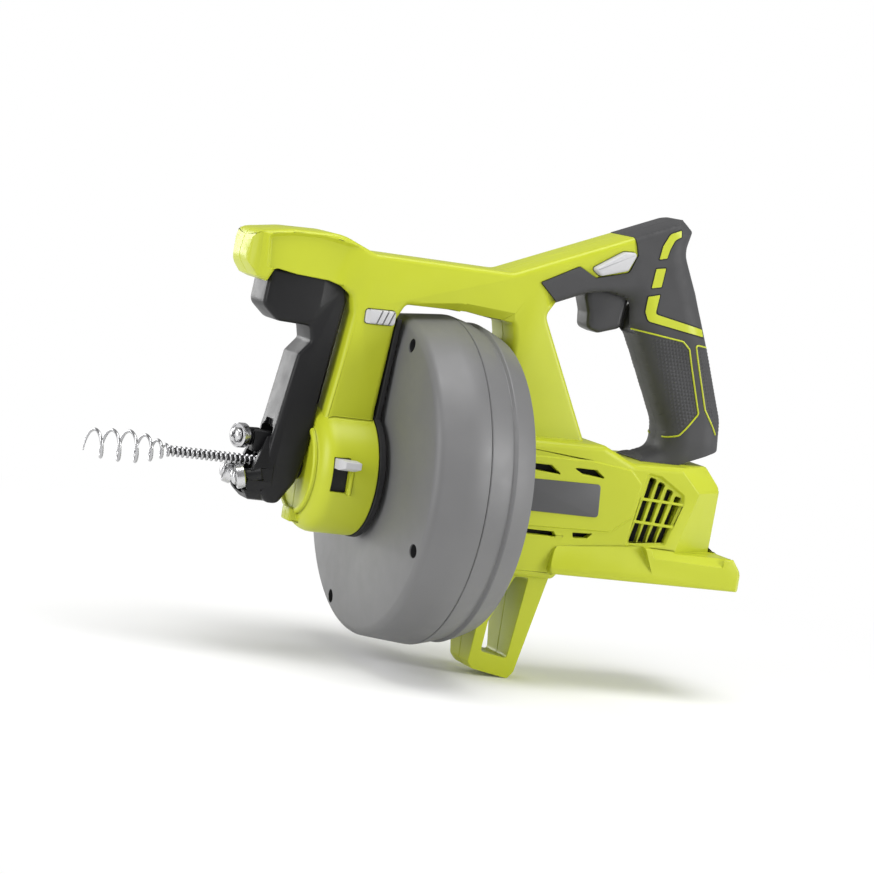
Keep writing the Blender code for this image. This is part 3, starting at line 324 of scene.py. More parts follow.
def tube(name, points, radius, sides=8, taper=0):
    """A round wire through points, closed at both ends; the last taper points narrow to a tip."""
    points = [Vector(point) for point in points]
    bm = bmesh.new()
    rings = []
    side = (points[1] - points[0]).orthogonal().normalized()
    for index, point in enumerate(points):
        ahead = points[min(index + 1, len(points) - 1)] - points[max(index - 1, 0)]
        ahead.normalize()
        side = (side - ahead * side.dot(ahead)).normalized()
        other = ahead.cross(side)
        left = len(points) - 1 - index
        size = radius * (0.35 + 0.65 * left / taper) if taper and left < taper else radius
        ring = []
        for step in range(sides):
            angle = 2 * math.pi * step / sides
            outwards = side * math.cos(angle) + other * math.sin(angle)
            ring.append(bm.verts.new((point + outwards * size) * MM))
        rings.append(ring)
    bm.faces.new(rings[0])
    bm.faces.new(rings[-1])
    for lower, upper in zip(rings, rings[1:]):
        for step in range(sides):
            bm.faces.new((lower[step - 1], lower[step], upper[step], upper[step - 1]))
    return from_bmesh(name, bm)


def combine(target, tool, operation):
    """Joins, cuts or intersects two solids, and removes the tool."""
    boolean = target.modifiers.new(operation, "BOOLEAN")
    boolean.operation = operation
    boolean.solver = "MANIFOLD"
    boolean.object = tool
    bpy.context.view_layer.update()
    graph = bpy.context.evaluated_depsgraph_get()
    mesh = bpy.data.meshes.new_from_object(target.evaluated_get(graph))
    target.modifiers.clear()
    target.data = mesh
    bpy.data.objects.remove(tool)
    return target


def join(target, *tools):
    """Adds tools to a target."""
    for tool in tools:
        combine(target, tool, "UNION")
    return target


def cut(target, *tools):
    """Takes tools away from a target."""
    for tool in tools:
        combine(target, tool, "DIFFERENCE")
    return target


def mirrored(obj):
    """A second object with its own mesh, mirrored across the middle plane."""
    made = linked(obj.name, obj.data.copy())
    bm = bmesh.new()
    bm.from_mesh(made.data)
    bm.transform(Matrix.Diagonal((1.0, -1.0, 1.0, 1.0)))
    bmesh.ops.reverse_faces(bm, faces=bm.faces)
    bm.to_mesh(made.data)
    bm.free()
    return made


def tidy(obj):
    """Merges the flat triangles that Booleans leave."""
    bm = bmesh.new()
    bm.from_mesh(obj.data)
    bmesh.ops.remove_doubles(bm, verts=bm.verts, dist=2e-6)
    bmesh.ops.dissolve_limit(bm, angle_limit=math.radians(0.4), verts=bm.verts, edges=bm.edges)
    bm.to_mesh(obj.data)
    bm.free()


def piece(obj, name, body, surface, nodes=(), bevel=0.0, sharp=38.0):
    """Finishes a piece: its name, place, material, softened edges and the body it rides on."""
    obj.name = name
    obj.data.name = name
    obj.data.transform(Matrix.Translation(SPINDLE))
    obj.data.materials.clear()
    obj.data.materials.append(surface)
    if bevel:
        tidy(obj)
        softened = obj.modifiers.new("Soft edges", "BEVEL")
        softened.width = bevel * MM
        softened.segments = 2
        softened.limit_method = "ANGLE"
        softened.angle_limit = math.radians(32)
        softened.use_clamp_overlap = False
        softened.miter_outer = "MITER_ARC"
        softened.harden_normals = True
    obj.data.shade_smooth()
    obj.data.set_sharp_from_angle(angle=math.radians(sharp))
    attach(obj, body)
    if nodes:
        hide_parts(*nodes)


def pair(left, name, surface, nodes=(), bevel=0.0, sharp=38.0):
    """Finishes a left-hand piece of the housing and its mirror image."""
    right = mirrored(left)
    for made, side in ((left, "left"), (right, "right")):
        replaced = [f"{side}_{node}" for node in nodes]
        piece(made, f"{side}_{name}", "housing", surface, replaced, bevel, sharp)


# Materials

def put(node, values):
    """Sets a shader node's inputs."""
    for name, value in values.items():
        node.inputs[name].default_value = value


def surface(name, colour, roughness, metallic=0.0):
    """A new node material, with its shader ready for more nodes."""
    made = bpy.data.materials.new(name)
    made.use_nodes = True
    nodes = made.node_tree.nodes
    shader = nodes["Principled BSDF"]
    put(shader, {"Base Color": (*colour, 1.0), "Roughness": roughness, "Metallic": metallic})
    return made, shader, nodes.new("ShaderNodeTexCoord")


def noise(made, place, scale, detail=4.0):
    """A noise texture in object space, measured in metres."""
    texture = made.node_tree.nodes.new("ShaderNodeTexNoise")
    put(texture, {"Scale": scale, "Detail": detail})
    made.node_tree.links.new(place.outputs["Object"], texture.inputs["Vector"])
    return texture.outputs["Fac"]


def spread(made, value, low, high, target):
    """Sends a noise value to a shader input, mapped to a range."""
    ranged = made.node_tree.nodes.new("ShaderNodeMapRange")
    put(ranged, {"From Min": 0.3, "From Max": 0.7, "To Min": low, "To Max": high})
    made.node_tree.links.new(value, ranged.inputs["Value"])
    made.node_tree.links.new(ranged.outputs["Result"], target)


def tint(made, value, dark, light, target):
    """Mixes two colours by a noise value."""
    ramp = made.node_tree.nodes.new("ShaderNodeValToRGB")
    for element, position, colour in zip(ramp.color_ramp.elements, (0.3, 0.7), (dark, light)):
        element.position = position
        element.color = (*colour, 1.0)
    made.node_tree.links.new(value, ramp.inputs["Fac"])
    made.node_tree.links.new(ramp.outputs["Color"], target)


def bump(made, shader, value, strength, depth):
    """Fine relief from a texture value; depth is in metres."""
    relief = made.node_tree.nodes.new("ShaderNodeBump")
    put(relief, {"Strength": strength, "Distance": depth})
    made.node_tree.links.new(value, relief.inputs["Height"])
    made.node_tree.links.new(relief.outputs["Normal"], shader.inputs["Normal"])


def moulded(name, colour, roughness, grain=2600.0, strength=0.25, vary=0.06, specular=0.5):
    """Moulded plastic or rubber: a fine spark-eroded grain, slight clouding and uneven gloss."""
    made, shader, place = surface(name, colour, roughness)
    clouds = noise(made, place, 22.0, 3.0)
    dark = tuple(channel * (1 - vary) for channel in colour)
    light = tuple(min(1.0, channel * (1 + vary)) for channel in colour)
    tint(made, clouds, dark, light, shader.inputs["Base Color"])
    smudges = noise(made, place, 90.0, 5.0)
    spread(made, smudges, roughness * 0.88, roughness * 1.12, shader.inputs["Roughness"])
    bump(made, shader, noise(made, place, grain, 2.0), strength, 0.00004)
    put(shader, {"Specular IOR Level": specular})
    return made


def metal(name, colour, roughness, grain=900.0):
    """Metal with fine turned marks and uneven polish."""
    made, shader, place = surface(name, colour, roughness, 1.0)
    marks = noise(made, place, grain, 4.0)
    spread(made, marks, roughness * 0.7, roughness * 1.4, shader.inputs["Roughness"])
    clouds = noise(made, place, 120.0, 3.0)
    tint(made, clouds, tuple(channel * 0.86 for channel in colour), colour, shader.inputs["Base Color"])
    bump(made, shader, marks, 0.2, 0.00002)
    return made


LIME = moulded("lime plastic", (0.475, 0.525, 0.022), 0.38, grain=1800.0, vary=0.03, specular=0.4)
RUBBER = moulded("grey overmould", (0.050, 0.050, 0.052), 0.62, grain=3200.0, strength=0.4, vary=0.08,
                 specular=0.35)
DRUM_GREY = moulded("drum grey plastic", (0.150, 0.150, 0.152), 0.46, grain=2200.0, strength=0.35,
                    vary=0.05)
BLACK = moulded("black plastic", (0.008, 0.008, 0.009), 0.40, strength=0.45, vary=0.15, specular=0.3)
TRIGGER_BLACK = moulded("trigger plastic", (0.030, 0.030, 0.032), 0.38, vary=0.1)
PALE = moulded("light grey plastic", (0.52, 0.52, 0.53), 0.42, vary=0.04)
DARK = moulded("dark plastic", (0.040, 0.040, 0.043), 0.50, vary=0.1)
LABEL = moulded("plain label", (0.075, 0.075, 0.078), 0.45, grain=1500.0, strength=0.15, vary=0.04)
STEEL = metal("bright steel", (0.66, 0.66, 0.67), 0.22)
WIRE = metal("spring wire", (0.50, 0.50, 0.51), 0.26, grain=1500.0)
MOTOR_STEEL = metal("zinc plated steel", (0.40, 0.41, 0.42), 0.38)
COPPER = metal("enamelled copper", (0.70, 0.34, 0.18), 0.34)
SHADE = moulded("shaded hollow", (0.010, 0.010, 0.011), 0.8, vary=0.1)


# Housing

def nose_body():
    """The round nose with a large front fillet, the raised ring round its front and the tab on it."""
    fillet = 11.0
    steps = 8
    profile = [(NOSE_REAR, 0), (NOSE_REAR, NOSE_RADIUS - 0.6), (NOSE_REAR - 0.6, NOSE_RADIUS)]
    for step in range(steps + 1):
        angle = math.pi / 2 * step / steps
        profile.append((NOSE_FRONT + fillet * (1 - math.sin(angle)),
                        NOSE_RADIUS - fillet * (1 - math.cos(angle))))
    profile.append((NOSE_FRONT, 0))
    nose = turned("nose", profile)
    ring = turned("ring", [(-100, 27.2), (-108.0, 27.2), (-108.9, 26.3), (-108.9, 24.8), (-108.0, 24.0),
                           (-100, 24.0)])
    tab = block("tab", (-110.6, -6.5, -31.5), (-104, 2.5, -23.5), 1.0)
    return join(nose, ring, tab)


def ledges(whole):
    """The facets and steps of the body, foot, rail and handle, cut on both sides."""
    rear_near = [(115, 27), (130, 13), (121.5, -17), (120, -23.4), (170, -23.4), (170, 45), (115, 45)]
    rear_far = [(146, 27), (155, 13), (153, -17), (152, -23.4), (170, -23.4), (170, 45), (146, 45)]
    shoulder_outer = [(30, -19), (97.5, -19), (106, -36), (30, -39)]
    shoulder_inner = [(30, -19), (97.0, -19), (99.5, -24), (30, -25)]
    top_outer = [(98, -10), (143, -10), (143, -30), (106, -29)]
    top_inner = [(98, -10), (170, -10), (170, -24), (104, -22.0)]
    for side in (-1, 1):
        corner = [(160, side * 40), (168, side * 40), (168, side * 32)]
        rim = side * (FRAME_HALF + 0.2)
        cut(whole,
            loft("rear facet", [at_y(side * 36.0, rear_near), at_y(side * 33.2, rear_near),
                                at_y(side * 14.0, rear_far)]),
            loft("foot shoulder", [at_y(side * 40.0, shoulder_outer), at_y(side * 38.1, shoulder_outer),
                                   at_y(side * 33.6, shoulder_inner)]),
            loft("foot top facet", [at_y(side * 40.0, top_outer), at_y(side * 33.2, top_inner)]),
            loft("foot corner", [at_z(-60, corner), at_z(-10, corner)]),
            pocket("rail facet", RAIL_FACET, RAIL_FACET_RIM, side * (FRAME_HALF - 4.2), rim),
            pocket("handle inset", HANDLE_INSET, HANDLE_INSET_RIM, side * (FRAME_HALF - 2.2), rim))


def grille_slot(index):
    """One leaning slot of the grille; from the second one on, their tops step down."""
    pitch = 6.0
    foot_x = 90.6 + pitch * index
    foot_z = -19.6 + index * 0.4
    top_x = 98.5 + pitch * index
    top_z = 19.0 - max(0, index - 0.4) * 3.6
    return [(foot_x, foot_z, 0.3), (foot_x + 4.3, foot_z, 0.3), (top_x + 3.4, top_z - 1.0, 0.3),
            (top_x - 0.2, top_z, 0.3)]


def body_panels(whole):
    """The raised side panel, the vents and the slatted grille, on both sides."""
    half_bar = 0.8
    lean = -1.3
    for side in (-1, 1):
        join(whole, pocket("raised panel", grown(BODY_PANEL, 0.9), BODY_PANEL, side * (BODY_HALF - 1.0),
                           side * (BODY_HALF + 0.9)))
        cut(whole, pocket("grille recess", GRILLE, grown(GRILLE, 1.4), side * (BODY_HALF - 1.8),
                          side * (BODY_HALF + 0.3)))
        for corners in BODY_VENTS:
            cut(whole, side_prism("vent", corners, side, VENT_DEPTHS))
        for index in range(4):
            cut(whole, side_prism("slot", grille_slot(index), side, VENT_DEPTHS, steps=2))
        for z, end_x in ((6.6, 121.5), (-7.0, 118.0)):
            bar = [(87, z + half_bar), (end_x, z + half_bar + lean), (end_x, z - half_bar + lean),
                   (87, z - half_bar)]
            join(whole, loft("bar", [at_y(side * (BODY_HALF - depth), bar) for depth in (3.0, 0.2)]))


def frame_body():
    """Handle, rail, column, slab and arm in one, with the handle's front rounded in plan."""
    whole = plate("frame", FRAME, FRAME_HALF, FRAME_EDGE, 4)
    plan = rounded(HANDLE_PLAN, 8)
    return combine(whole, loft("plan", [at_z(-60, plan), at_z(200, plan)]), "INTERSECT")


def stand_body():
    """The stand, which narrows towards its foot."""
    stand = plate("stand", STAND, FOOT_HALF)
    return combine(stand, loft("taper", [at_x(0, STAND_TAPER), at_x(60, STAND_TAPER)]), "INTERSECT")


def housing_rooms(whole):
    """The rooms inside the housing, its ducts and the windows for the switches."""
    cut(whole, plate("body hollow", BODY_HOLLOW, BODY_HALF - BODY_WALL),
        plate("lever slot", grown(LEVER, 0.7), LEVER_ROOM_HALF),
        plate("lever sweep", LEVER_SWEEP, LEVER_ROOM_HALF),
        plate("battery bay", [(62, -60, 0), (62, -30, 2), (150, -30, 2), (150, -60, 0)], BAY_HALF),
        rod("cable bore", 5.5, (-125, 0, 0), (-60, 0, 0)),
        rod("front seat", 17.3, (-84.5, 0, 0), (-60, 0, 0)),
        rod("rear seat", 13.3, (-2, 0, 0), (14, 0, 0)),
        rod("spring pocket", 5.0, (-128, 0, 110), (-128, 0, 125.5)),
        plate("button window", grown(BUTTON, 0.35), PAST_GRIP),
        plate("switch window", grown(AUTO_SWITCH, 0.35), PAST_GRIP))
    duct = [(100, 21, 0), (104, 20, 0), (121, 11, 0), (114, -20, 0), (100, -22, 0)]
    for side in (-1, 1):
        cut(whole, side_prism("duct", duct, side, (18, BODY_HALF - BODY_WALL)))


def housing():
    """Both lime housing halves; only the left one has the clamp's slot and the lip beside it."""
    whole = frame_body()
    join(whole, nose_body(), plate("body", BODY, BODY_HALF, 4.0, 4), plate("foot", FOOT, FOOT_HALF, 1.6),
         stand_body())
    cut(whole, plate("stand opening", STAND_OPENING, PAST_BODY),
        plate("grip room", grown(OVERMOULD, 0.12), PAST_BODY))
    ledges(whole)
    housing_rooms(whole)
    body_panels(whole)
    left = combine(whole, block("left side", (-400, -90, -300), (400, -SEAM, 400)), "INTERSECT")
    right = mirrored(left)
    cut(left, block("slot", (-99.7, -50, -8.6), (-90.2, -26, 10.6), 0.4),
        block("slider room", (-100.8, -29.4, -19.0), (-88.5, -24, 13)))
    join(left, block("lip", (-89.9, -37.2, -9.5), (-87.6, -32.0, 3.5), 0.7))
    piece(left, "left_housing_shell", "housing", LIME, ["left_housing"], 0.45)
    piece(right, "right_housing_shell", "housing", LIME, ["right_housing"], 0.45)


def shade_screens():
    """Painted shade: dark screens behind the grilles and vents, so that nothing shows through the body and
    the openings look shaded inside.
    """
    pair(side_prism("shade_screen", SHADE_SCREEN, -1, (26.0, 26.8)), "shade_screen", SHADE)


# Overmoulded grip: its sides are a height field over X and Z

GRIP_PITCH = 1.05               # spacing of the field's points; every second one is a pyramid's tip
PYRAMID = 0.5
PIPE_RADIUS = 0.5
PIPE_CLEAR = 1.4                # the pyramids' distance to the piping


def distance(x, z, line):
    """Distance from a point to a polyline."""
    best = 1e9
    for (ax, az), (bx, bz) in zip(line, line[1:]):
        dx, dz = bx - ax, bz - az
        t = ((x - ax) * dx + (z - az) * dz) / (dx * dx + dz * dz)
        t = min(1.0, max(0.0, t))
        gap = (x - ax - t * dx) ** 2 + (z - az - t * dz) ** 2
        best = min(best, gap)
    return math.sqrt(best)


def inside(x, z, outline):
    """Whether a point lies inside a closed outline."""
    found = False
    for (ax, az), (bx, bz) in zip(outline, outline[1:] + outline[:1]):
        if (az > z) != (bz > z) and x < (bx - ax) * (z - az) / (bz - az) + ax:
            found = not found
    return found


def sampled(line, step, closed=False):
    """A polyline with points at most step apart."""
    pairs = list(zip(line, line[1:] + line[:1])) if closed else list(zip(line, line[1:]))
    points = []
    for (ax, az), (bx, bz) in pairs:
        count = max(1, math.ceil(math.hypot(bx - ax, bz - az) / step))
        points += [(ax + (bx - ax) * k / count, az + (bz - az) * k / count) for k in range(count)]
    return points if closed else points + [line[-1]]


TOP_LINE = rounded(GRIP_TOP_EDGE, 6)
REAR_LINE = rounded(GRIP_REAR_EDGE, 6)
FRONT_LINE = rounded(GRIP_FRONT_EDGE, 6)
PANELS = [rounded([*MAIN_PANEL, (92, 42, 0), (60, 99, 0)]),
          rounded([*REAR_PANEL, (165, 47, 0), (150, 97, 0)])]
PIPES = [rounded(MAIN_PANEL), rounded(REAR_PANEL)]


def blend_between(low, high, value):
    """0 below low, 1 above high, and smooth between."""
    t = min(1.0, max(0.0, (value - low) / (high - low)))
    return t * t * (3 - 2 * t)


def grip_height(x, z):
    """Half width of the grip at a point, rounded over its free edges and narrowed at the palm."""
    handle = blend_between(58, 84, x)
    front_round = 4.0 + 9.0 * handle
    rear_round = 16.5 - 3.5 * blend_between(120, 160, z)
    height = GRIP_HALF
    for line, radius in ((TOP_LINE, 4.0), (REAR_LINE, rear_round), (FRONT_LINE, front_round)):
        near = distance(x, z, line)
        if near < radius:
            height = min(height, GRIP_HALF - radius + math.sqrt(radius * radius - (radius - near) ** 2))
    waist = blend_between(40, 62, z) * (1 - blend_between(84, 104, z)) * handle
    return height - 0.8 * waist


def pyramids(x, z, column, row):
    """Extra height of the pyramid texture inside the two panels."""
    if column % 2 or row % 2:
        return 0.0
    for panel, pipe in zip(PANELS, PIPES):
        if inside(x, z, panel) and distance(x, z, pipe) > PIPE_CLEAR:
            return PYRAMID
    return 0.0


def field_solid(name, outline, inner, top, bottom):
    """A solid between two height functions over an outline, at -Y; inner holds (x, z, extra) points."""
    rim = len(outline)
    flat = [Vector(point) for point in outline] + [Vector(point[:2]) for point in inner]
    edges = [(index, (index + 1) % rim) for index in range(rim)]
    points, _, faces, origin, _, _ = delaunay_2d_cdt(flat, edges, [list(range(rim))], 1, 1e-4)
    bm = bmesh.new()
    upper = []
    lower = []
    for point, sources in zip(points, origin):
        extra = inner[sources[0] - rim][2] if sources and sources[0] >= rim else 0.0
        upper.append(bm.verts.new(Vector((point.x, -top(point.x, point.y) - extra, point.y)) * MM))
        lower.append(bm.verts.new(Vector((point.x, -bottom(point.x, point.y), point.y)) * MM))
    walls = {}
    for face in faces:
        bm.faces.new([upper[index] for index in face])
        bm.faces.new([lower[index] for index in reversed(face)])
        for a, b in zip(face, face[1:] + face[:1]):
            if (b, a) in walls:
                del walls[(b, a)]
            else:
                walls[(a, b)] = True
    for a, b in walls:
        bm.faces.new((upper[b], upper[a], lower[a], lower[b]))
    return from_bmesh(name, bm)


def grid_points(outline, pitch, clear, lean=0.0):
    """Grid points inside an outline, with their column and row, kept clear of its edge."""
    xs = [point[0] for point in outline]
    zs = [point[1] for point in outline]
    margin = 60                 # more than the lean moves a row sideways
    closed = outline + outline[:1]
    row = 0
    z = min(zs)
    while z < max(zs):
        column = 0
        x = min(xs) - margin
        while x < max(xs) + margin:
            leant = x + (z - min(zs)) * lean
            if inside(leant, z, outline) and distance(leant, z, closed) > clear:
                yield leant, z, column, row
            x += pitch
            column += 1
        z += pitch
        row += 1


def grip():
    """Both overmould halves with their textured panels, lime piping and lime inlays, each inlay with a dark
    rim of painted shadow round it.
    """
    outline = sampled(rounded(OVERMOULD, 6), 1.4, closed=True)
    inner = [(x, z, pyramids(x, z, column, row))
             for x, z, column, row in grid_points(outline, GRIP_PITCH, 0.45, -0.36)]
    left = field_solid("grip", outline, inner, grip_height, lambda x, z: SEAM)
    cut(left, plate("trigger room", TRIGGER_ROOM, 9.6),
        plate("button window", grown(BUTTON, 0.45), PAST_GRIP))
    pair(left, "grip_overmould", RUBBER, ["grip"], sharp=23)
    for index, line in enumerate(PIPES):
        points = [(x, -grip_height(x, z) - 0.2, z) for x, z in sampled(line, 0.8) if inside(x, z, outline)]
        pair(tube("piping", points, PIPE_RADIUS), f"grip_piping_{index + 1}", LIME)
    for label, corners in ACCENTS.items():
        inlay(corners, f"grip_inlay_{label}", 0.0, 0.3, LIME)
        # painted shadow: a wider dark copy just under each lime inlay, showing as a dark rim round it
        inlay(corners, f"grip_inlay_{label}_gap", 0.75, 0.08, SHADE)


def inlay(corners, name, margin, lift, colour):
    """A strip that follows the grip's surface, wider by a margin and lifted off it, on both sides."""
    outline = sampled(rounded(grown(corners, margin), 4), 1.0, closed=True)
    inner = [(x, z, 0.0) for x, z, _, _ in grid_points(outline, 1.0, 0.3)]
    left = field_solid(name, outline, inner, lambda x, z: grip_height(x, z) + lift,
                       lambda x, z: grip_height(x, z) - 1.2)
    pair(left, name, colour)


# Drum

def drum_cover_front():
    """Front cover: tube, slightly domed face, a firm rounded edge and a side that widens to the parting."""
    fillet = 5.5
    steps = 8
    centre_x = -57.0
    centre_r = 86.8
    profile = [(-80, 6.0), (-80, 9.6), (-79.6, 10.0), (-66.6, 10.0), (-66.0, 10.8), (-66.0, 30),
               (-65.6, 50), (-64.6, 70), (-63.4, 80)]
    for step in range(steps + 1):
        angle = math.radians(8 + 80 * step / steps)
        profile.append((centre_x - fillet * math.cos(angle), centre_r + fillet * math.sin(angle)))
    profile += [(-44, 93.7), (-31.7, DRUM_RADIUS), (-31.15, DRUM_RADIUS - 0.4),
                (-31.15, DRUM_RADIUS - 2.5), (-50, DRUM_RADIUS - 5), (-58.5, DRUM_RADIUS - 14),
                (-62.5, 30.0), (-62.5, 6.0)]
    return turned("front", profile, 160)


def drum_cover_rear():
    """Rear cover: a side that closes in to the rear rim with one small step, and a recess in its back."""
    outer = [(-30.85, 94.5), (-30.3, 94.9), (-23.0, 93.2), (-16.3, 90.9), (-15.8, 91.0), (-14.6, 92.2),
             (-14.0, 92.3), (-9.0, 90.4), (-2.4, 87.4), (-0.7, 86.4), (0.0, 84.8)]
    back = [(0.0, 62), (-1.0, 60.5), (-1.0, 26), (0.0, 24.5), (0.0, 9.0)]
    inner = [(-2.6, 9.0), (-2.6, 83.0), (-14, 87.4), (-24, 90.6)]
    return turned("rear", [(-30.85, 92.3), *outer, *back, *inner], 160)


def drum_screw_places():
    """Y and Z of each drum screw."""
    for degrees in DRUM_SCREW_ANGLES:
        angle = math.radians(degrees)
        yield -DRUM_SCREW_CIRCLE * math.cos(angle), DRUM_SCREW_CIRCLE * math.sin(angle)


def pan_head_screw(name, centre, axis, radius, shank_length, shank_radius):
    """A domed cross-head screw, with its head's face towards axis."""
    height = radius * 0.62
    rim = 0.18                  # share of the head's height below its dome
    steps = 6
    profile = [(-shank_length, 0), (-shank_length, shank_radius), (0, shank_radius), (0, radius * 0.96),
               (height * rim, radius)]
    for step in range(1, steps + 1):
        angle = math.pi / 2 * step / steps
        profile.append((height * (rim + (1 - rim) * math.sin(angle)),
                        radius * math.cos(angle) if step < steps else 0))
    screw = turned(name, profile, 48, centre, axis)
    side = axis.orthogonal().normalized()
    top = Vector(centre) + axis * height
    for turn in (0, 1):
        arm = Matrix.Rotation(math.pi / 2 * turn, 3, axis) @ side
        across = axis.cross(arm)
        rings = []
        for lift, reach, half in ((0.3, radius * 0.62, radius * 0.13),
                                  (-height * 0.8, radius * 0.22, radius * 0.07)):
            middle = top + axis * lift
            rings.append([middle + arm * a * reach + across * b * half
                          for a, b in ((-1, -1), (1, -1), (1, 1), (-1, 1))])
        cut(screw, loft("cross", rings))
    return screw


def drum():
    """Both covers of the turning drum, and its four screws, each in a deep well lined with painted shade.
    """
    front = drum_cover_front()
    for y, z in drum_screw_places():
        cut(front, rod("screw hole", 3.9, (-80, y, z), (-52, y, z)))
    piece(front, "drum_front", "drum", DRUM_GREY, ["drum_front_cover"], sharp=50)
    piece(drum_cover_rear(), "drum_rear", "drum", DRUM_GREY, ["drum_rear_cover"], sharp=30)
    # painted shade: a dark lining inside each screw hole
    shade_lining = [(-62.6, 3.75), (-62.6, 4.1), (-54.0, 4.1), (-54.0, 0), (-54.6, 0), (-54.6, 3.75)]
    for index, (y, z) in enumerate(drum_screw_places()):
        well = turned("well", shade_lining, 32, (0, y, z))
        piece(well, f"drum_screw_shade_lining_{index + 1}", "drum", SHADE)
        node = f"drum_screw_{index + 1}"
        screw = pan_head_screw("screw", (-56.6, y, z), Vector((-1, 0, 0)), 3.0, 20, 1.3)
        piece(screw, f"{node}_detailed", "drum", STEEL, [node])


# Cable path

def helix(start, end, radius, turns, steps=14):
    """Points of a coil along X."""
    points = []
    for step in range(int(turns * steps) + 1):
        t = step / (turns * steps)
        angle = 2 * math.pi * turns * t
        points.append((start + (end - start) * t, radius * math.sin(angle), radius * math.cos(angle)))
    return points


def bulb_line(radius, turns=6.4, steps=26):
    """The bulb's coil: its turns widen and open out, then close in a little towards the free end."""
    points = []
    x = CABLE_END
    count = int(turns * steps)
    for step in range(count + 1):
        t = step / count
        opened = min(1.0, t / 0.67)
        opened = opened * opened * (3 - 2 * opened)
        size = radius + 6.2 * opened - 1.5 * max(0.0, t - 0.65) / 0.35
        angle = 2 * math.pi * step / steps
        points.append((x, size * math.sin(angle), size * math.cos(angle)))
        x -= (CABLE_PITCH + 7.2 * opened) / steps
    return points


def cable():
    """The wound cable over a dark core of painted shade, which darkens the gaps between its turns, and its
    open bulb.
    """
    wire = 0.9
    made = tube("coil", helix(CABLE_START, CABLE_END, CABLE_RADIUS - wire, CABLE_TURNS), wire)
    # painted shade: a dark core inside the coil, so that the gaps between the turns look shaded
    core = turned("core", [(CABLE_END, 0), (CABLE_END, 1.2), (CABLE_END + 0.6, 1.8), (-22, 1.8),
                           (-22, 0)], 24)
    piece(made, "cable_winding", "cable_run", WIRE, ["cable"], sharp=70)
    piece(core, "cable_core", "cable_run", DARK)
    bulb = tube("bulb", bulb_line(CABLE_RADIUS - wire), 0.95, 10, taper=8)
    piece(bulb, "bulb_coil", "cable_run", WIRE, ["bulb_tip"], sharp=70)


def roller(side, centre, radius, screw_body, head_radius):
    """A bearing roller with inner and outer rings, and the cross-head screw that holds it."""
    axis = joint_axis(f"{side}_roller_spin")
    wide = ROLLER_HALF
    half = [(-wide, 2.3), (-wide, 3.4), (-wide + 0.5, 3.6), (-wide + 0.5, radius - 1.6),
            (-wide, radius - 1.4), (-wide, radius - 0.5), (-wide + 0.5, radius)]
    profile = half + [(-along, distant) for along, distant in reversed(half)]
    wheel = turned(f"{side}_roller", profile, 64, centre, axis)
    piece(wheel, f"{side}_roller_bearing", f"{side}_feed_roller", STEEL, [f"{side}_roller"],
          sharp=30)
    head = centre + axis * (wide + ROLLER_GAP)
    node = f"{side}_roller_screw"
    screw = pan_head_screw("screw", head, axis, head_radius, 11.0, 1.9)
    piece(screw, f"{node}_detailed", screw_body, STEEL, [node])


def joint_axis(name):
    """Direction of a joint's axis."""
    return Vector(joint_of(name)["axis"]).normalized()


def roller_centre(side):
    """Middle of the top, left or right roller."""
    if side == "top":
        return Vector((ROLLER_X, 0.0, TOP_ROLLER_Z))
    return Vector((ROLLER_X, -LOW_ROLLER_Y if side == "left" else LOW_ROLLER_Y, LOW_ROLLER_Z))


def rollers():
    """The fixed top roller and the two that the lever lifts."""
    roller("top", roller_centre("top"), TOP_ROLLER, "housing", 4.3)
    for side in ("left", "right"):
        roller(side, roller_centre(side), LOW_ROLLER, "lever", 4.2)


def feed_head():
    """The fixed black guide that carries the top roller."""
    axis = joint_axis("top_roller_spin")
    centre = roller_centre("top")
    start = centre - axis * (ROLLER_HALF + ROLLER_GAP)
    guide = turned("guide", [(-133, 4.6), (-133, 6.6), (-132.2, 7.5), (-107.3, 7.5), (-107.3, 4.6)], 48)
    neck = block("neck", (-137, -3.6, 5), (-107.3, 3.6, 17.4), 1.0)
    boss = turned("boss", [(0, 0), (0, 4.4), (0.8, 5.0), (9.5, 5.0), (9.5, 0)], 40, start, -axis)
    head = join(guide, neck, boss)
    cut(head, rod("cable way", 4.6, (-150, 0, 0), (-90, 0, 0)),
        rod("screw way", 2.2, centre, centre - axis * 12.0))
    piece(head, "roller_bracket", "housing", BLACK, ["feed_head"], 0.4)


def collar():
    """The rim round the lower rollers: a pointed oval that leans forward, hollowed from the front."""
    half = [(0, 30), (4.5, 25), (8.8, 17), (12.0, 8), (13.6, -2), (13.6, -10), (11.6, -17), (7.5, -21),
            (0, -22.4)]
    oval = [(y, z, 5) for y, z in half] + [(-y, z, 5) for y, z in half[-2:0:-1]]
    outside = rounded(oval)
    opening = rounded(grown(oval, -4.0))
    made = plate("collar", COLLAR_SIDE, 14.5)
    combine(made, loft("oval", [at_x(-150, outside), at_x(-120, outside)]), "INTERSECT")
    return cut(made, loft("opening", [at_x(-150, opening), at_x(-133, opening)]))


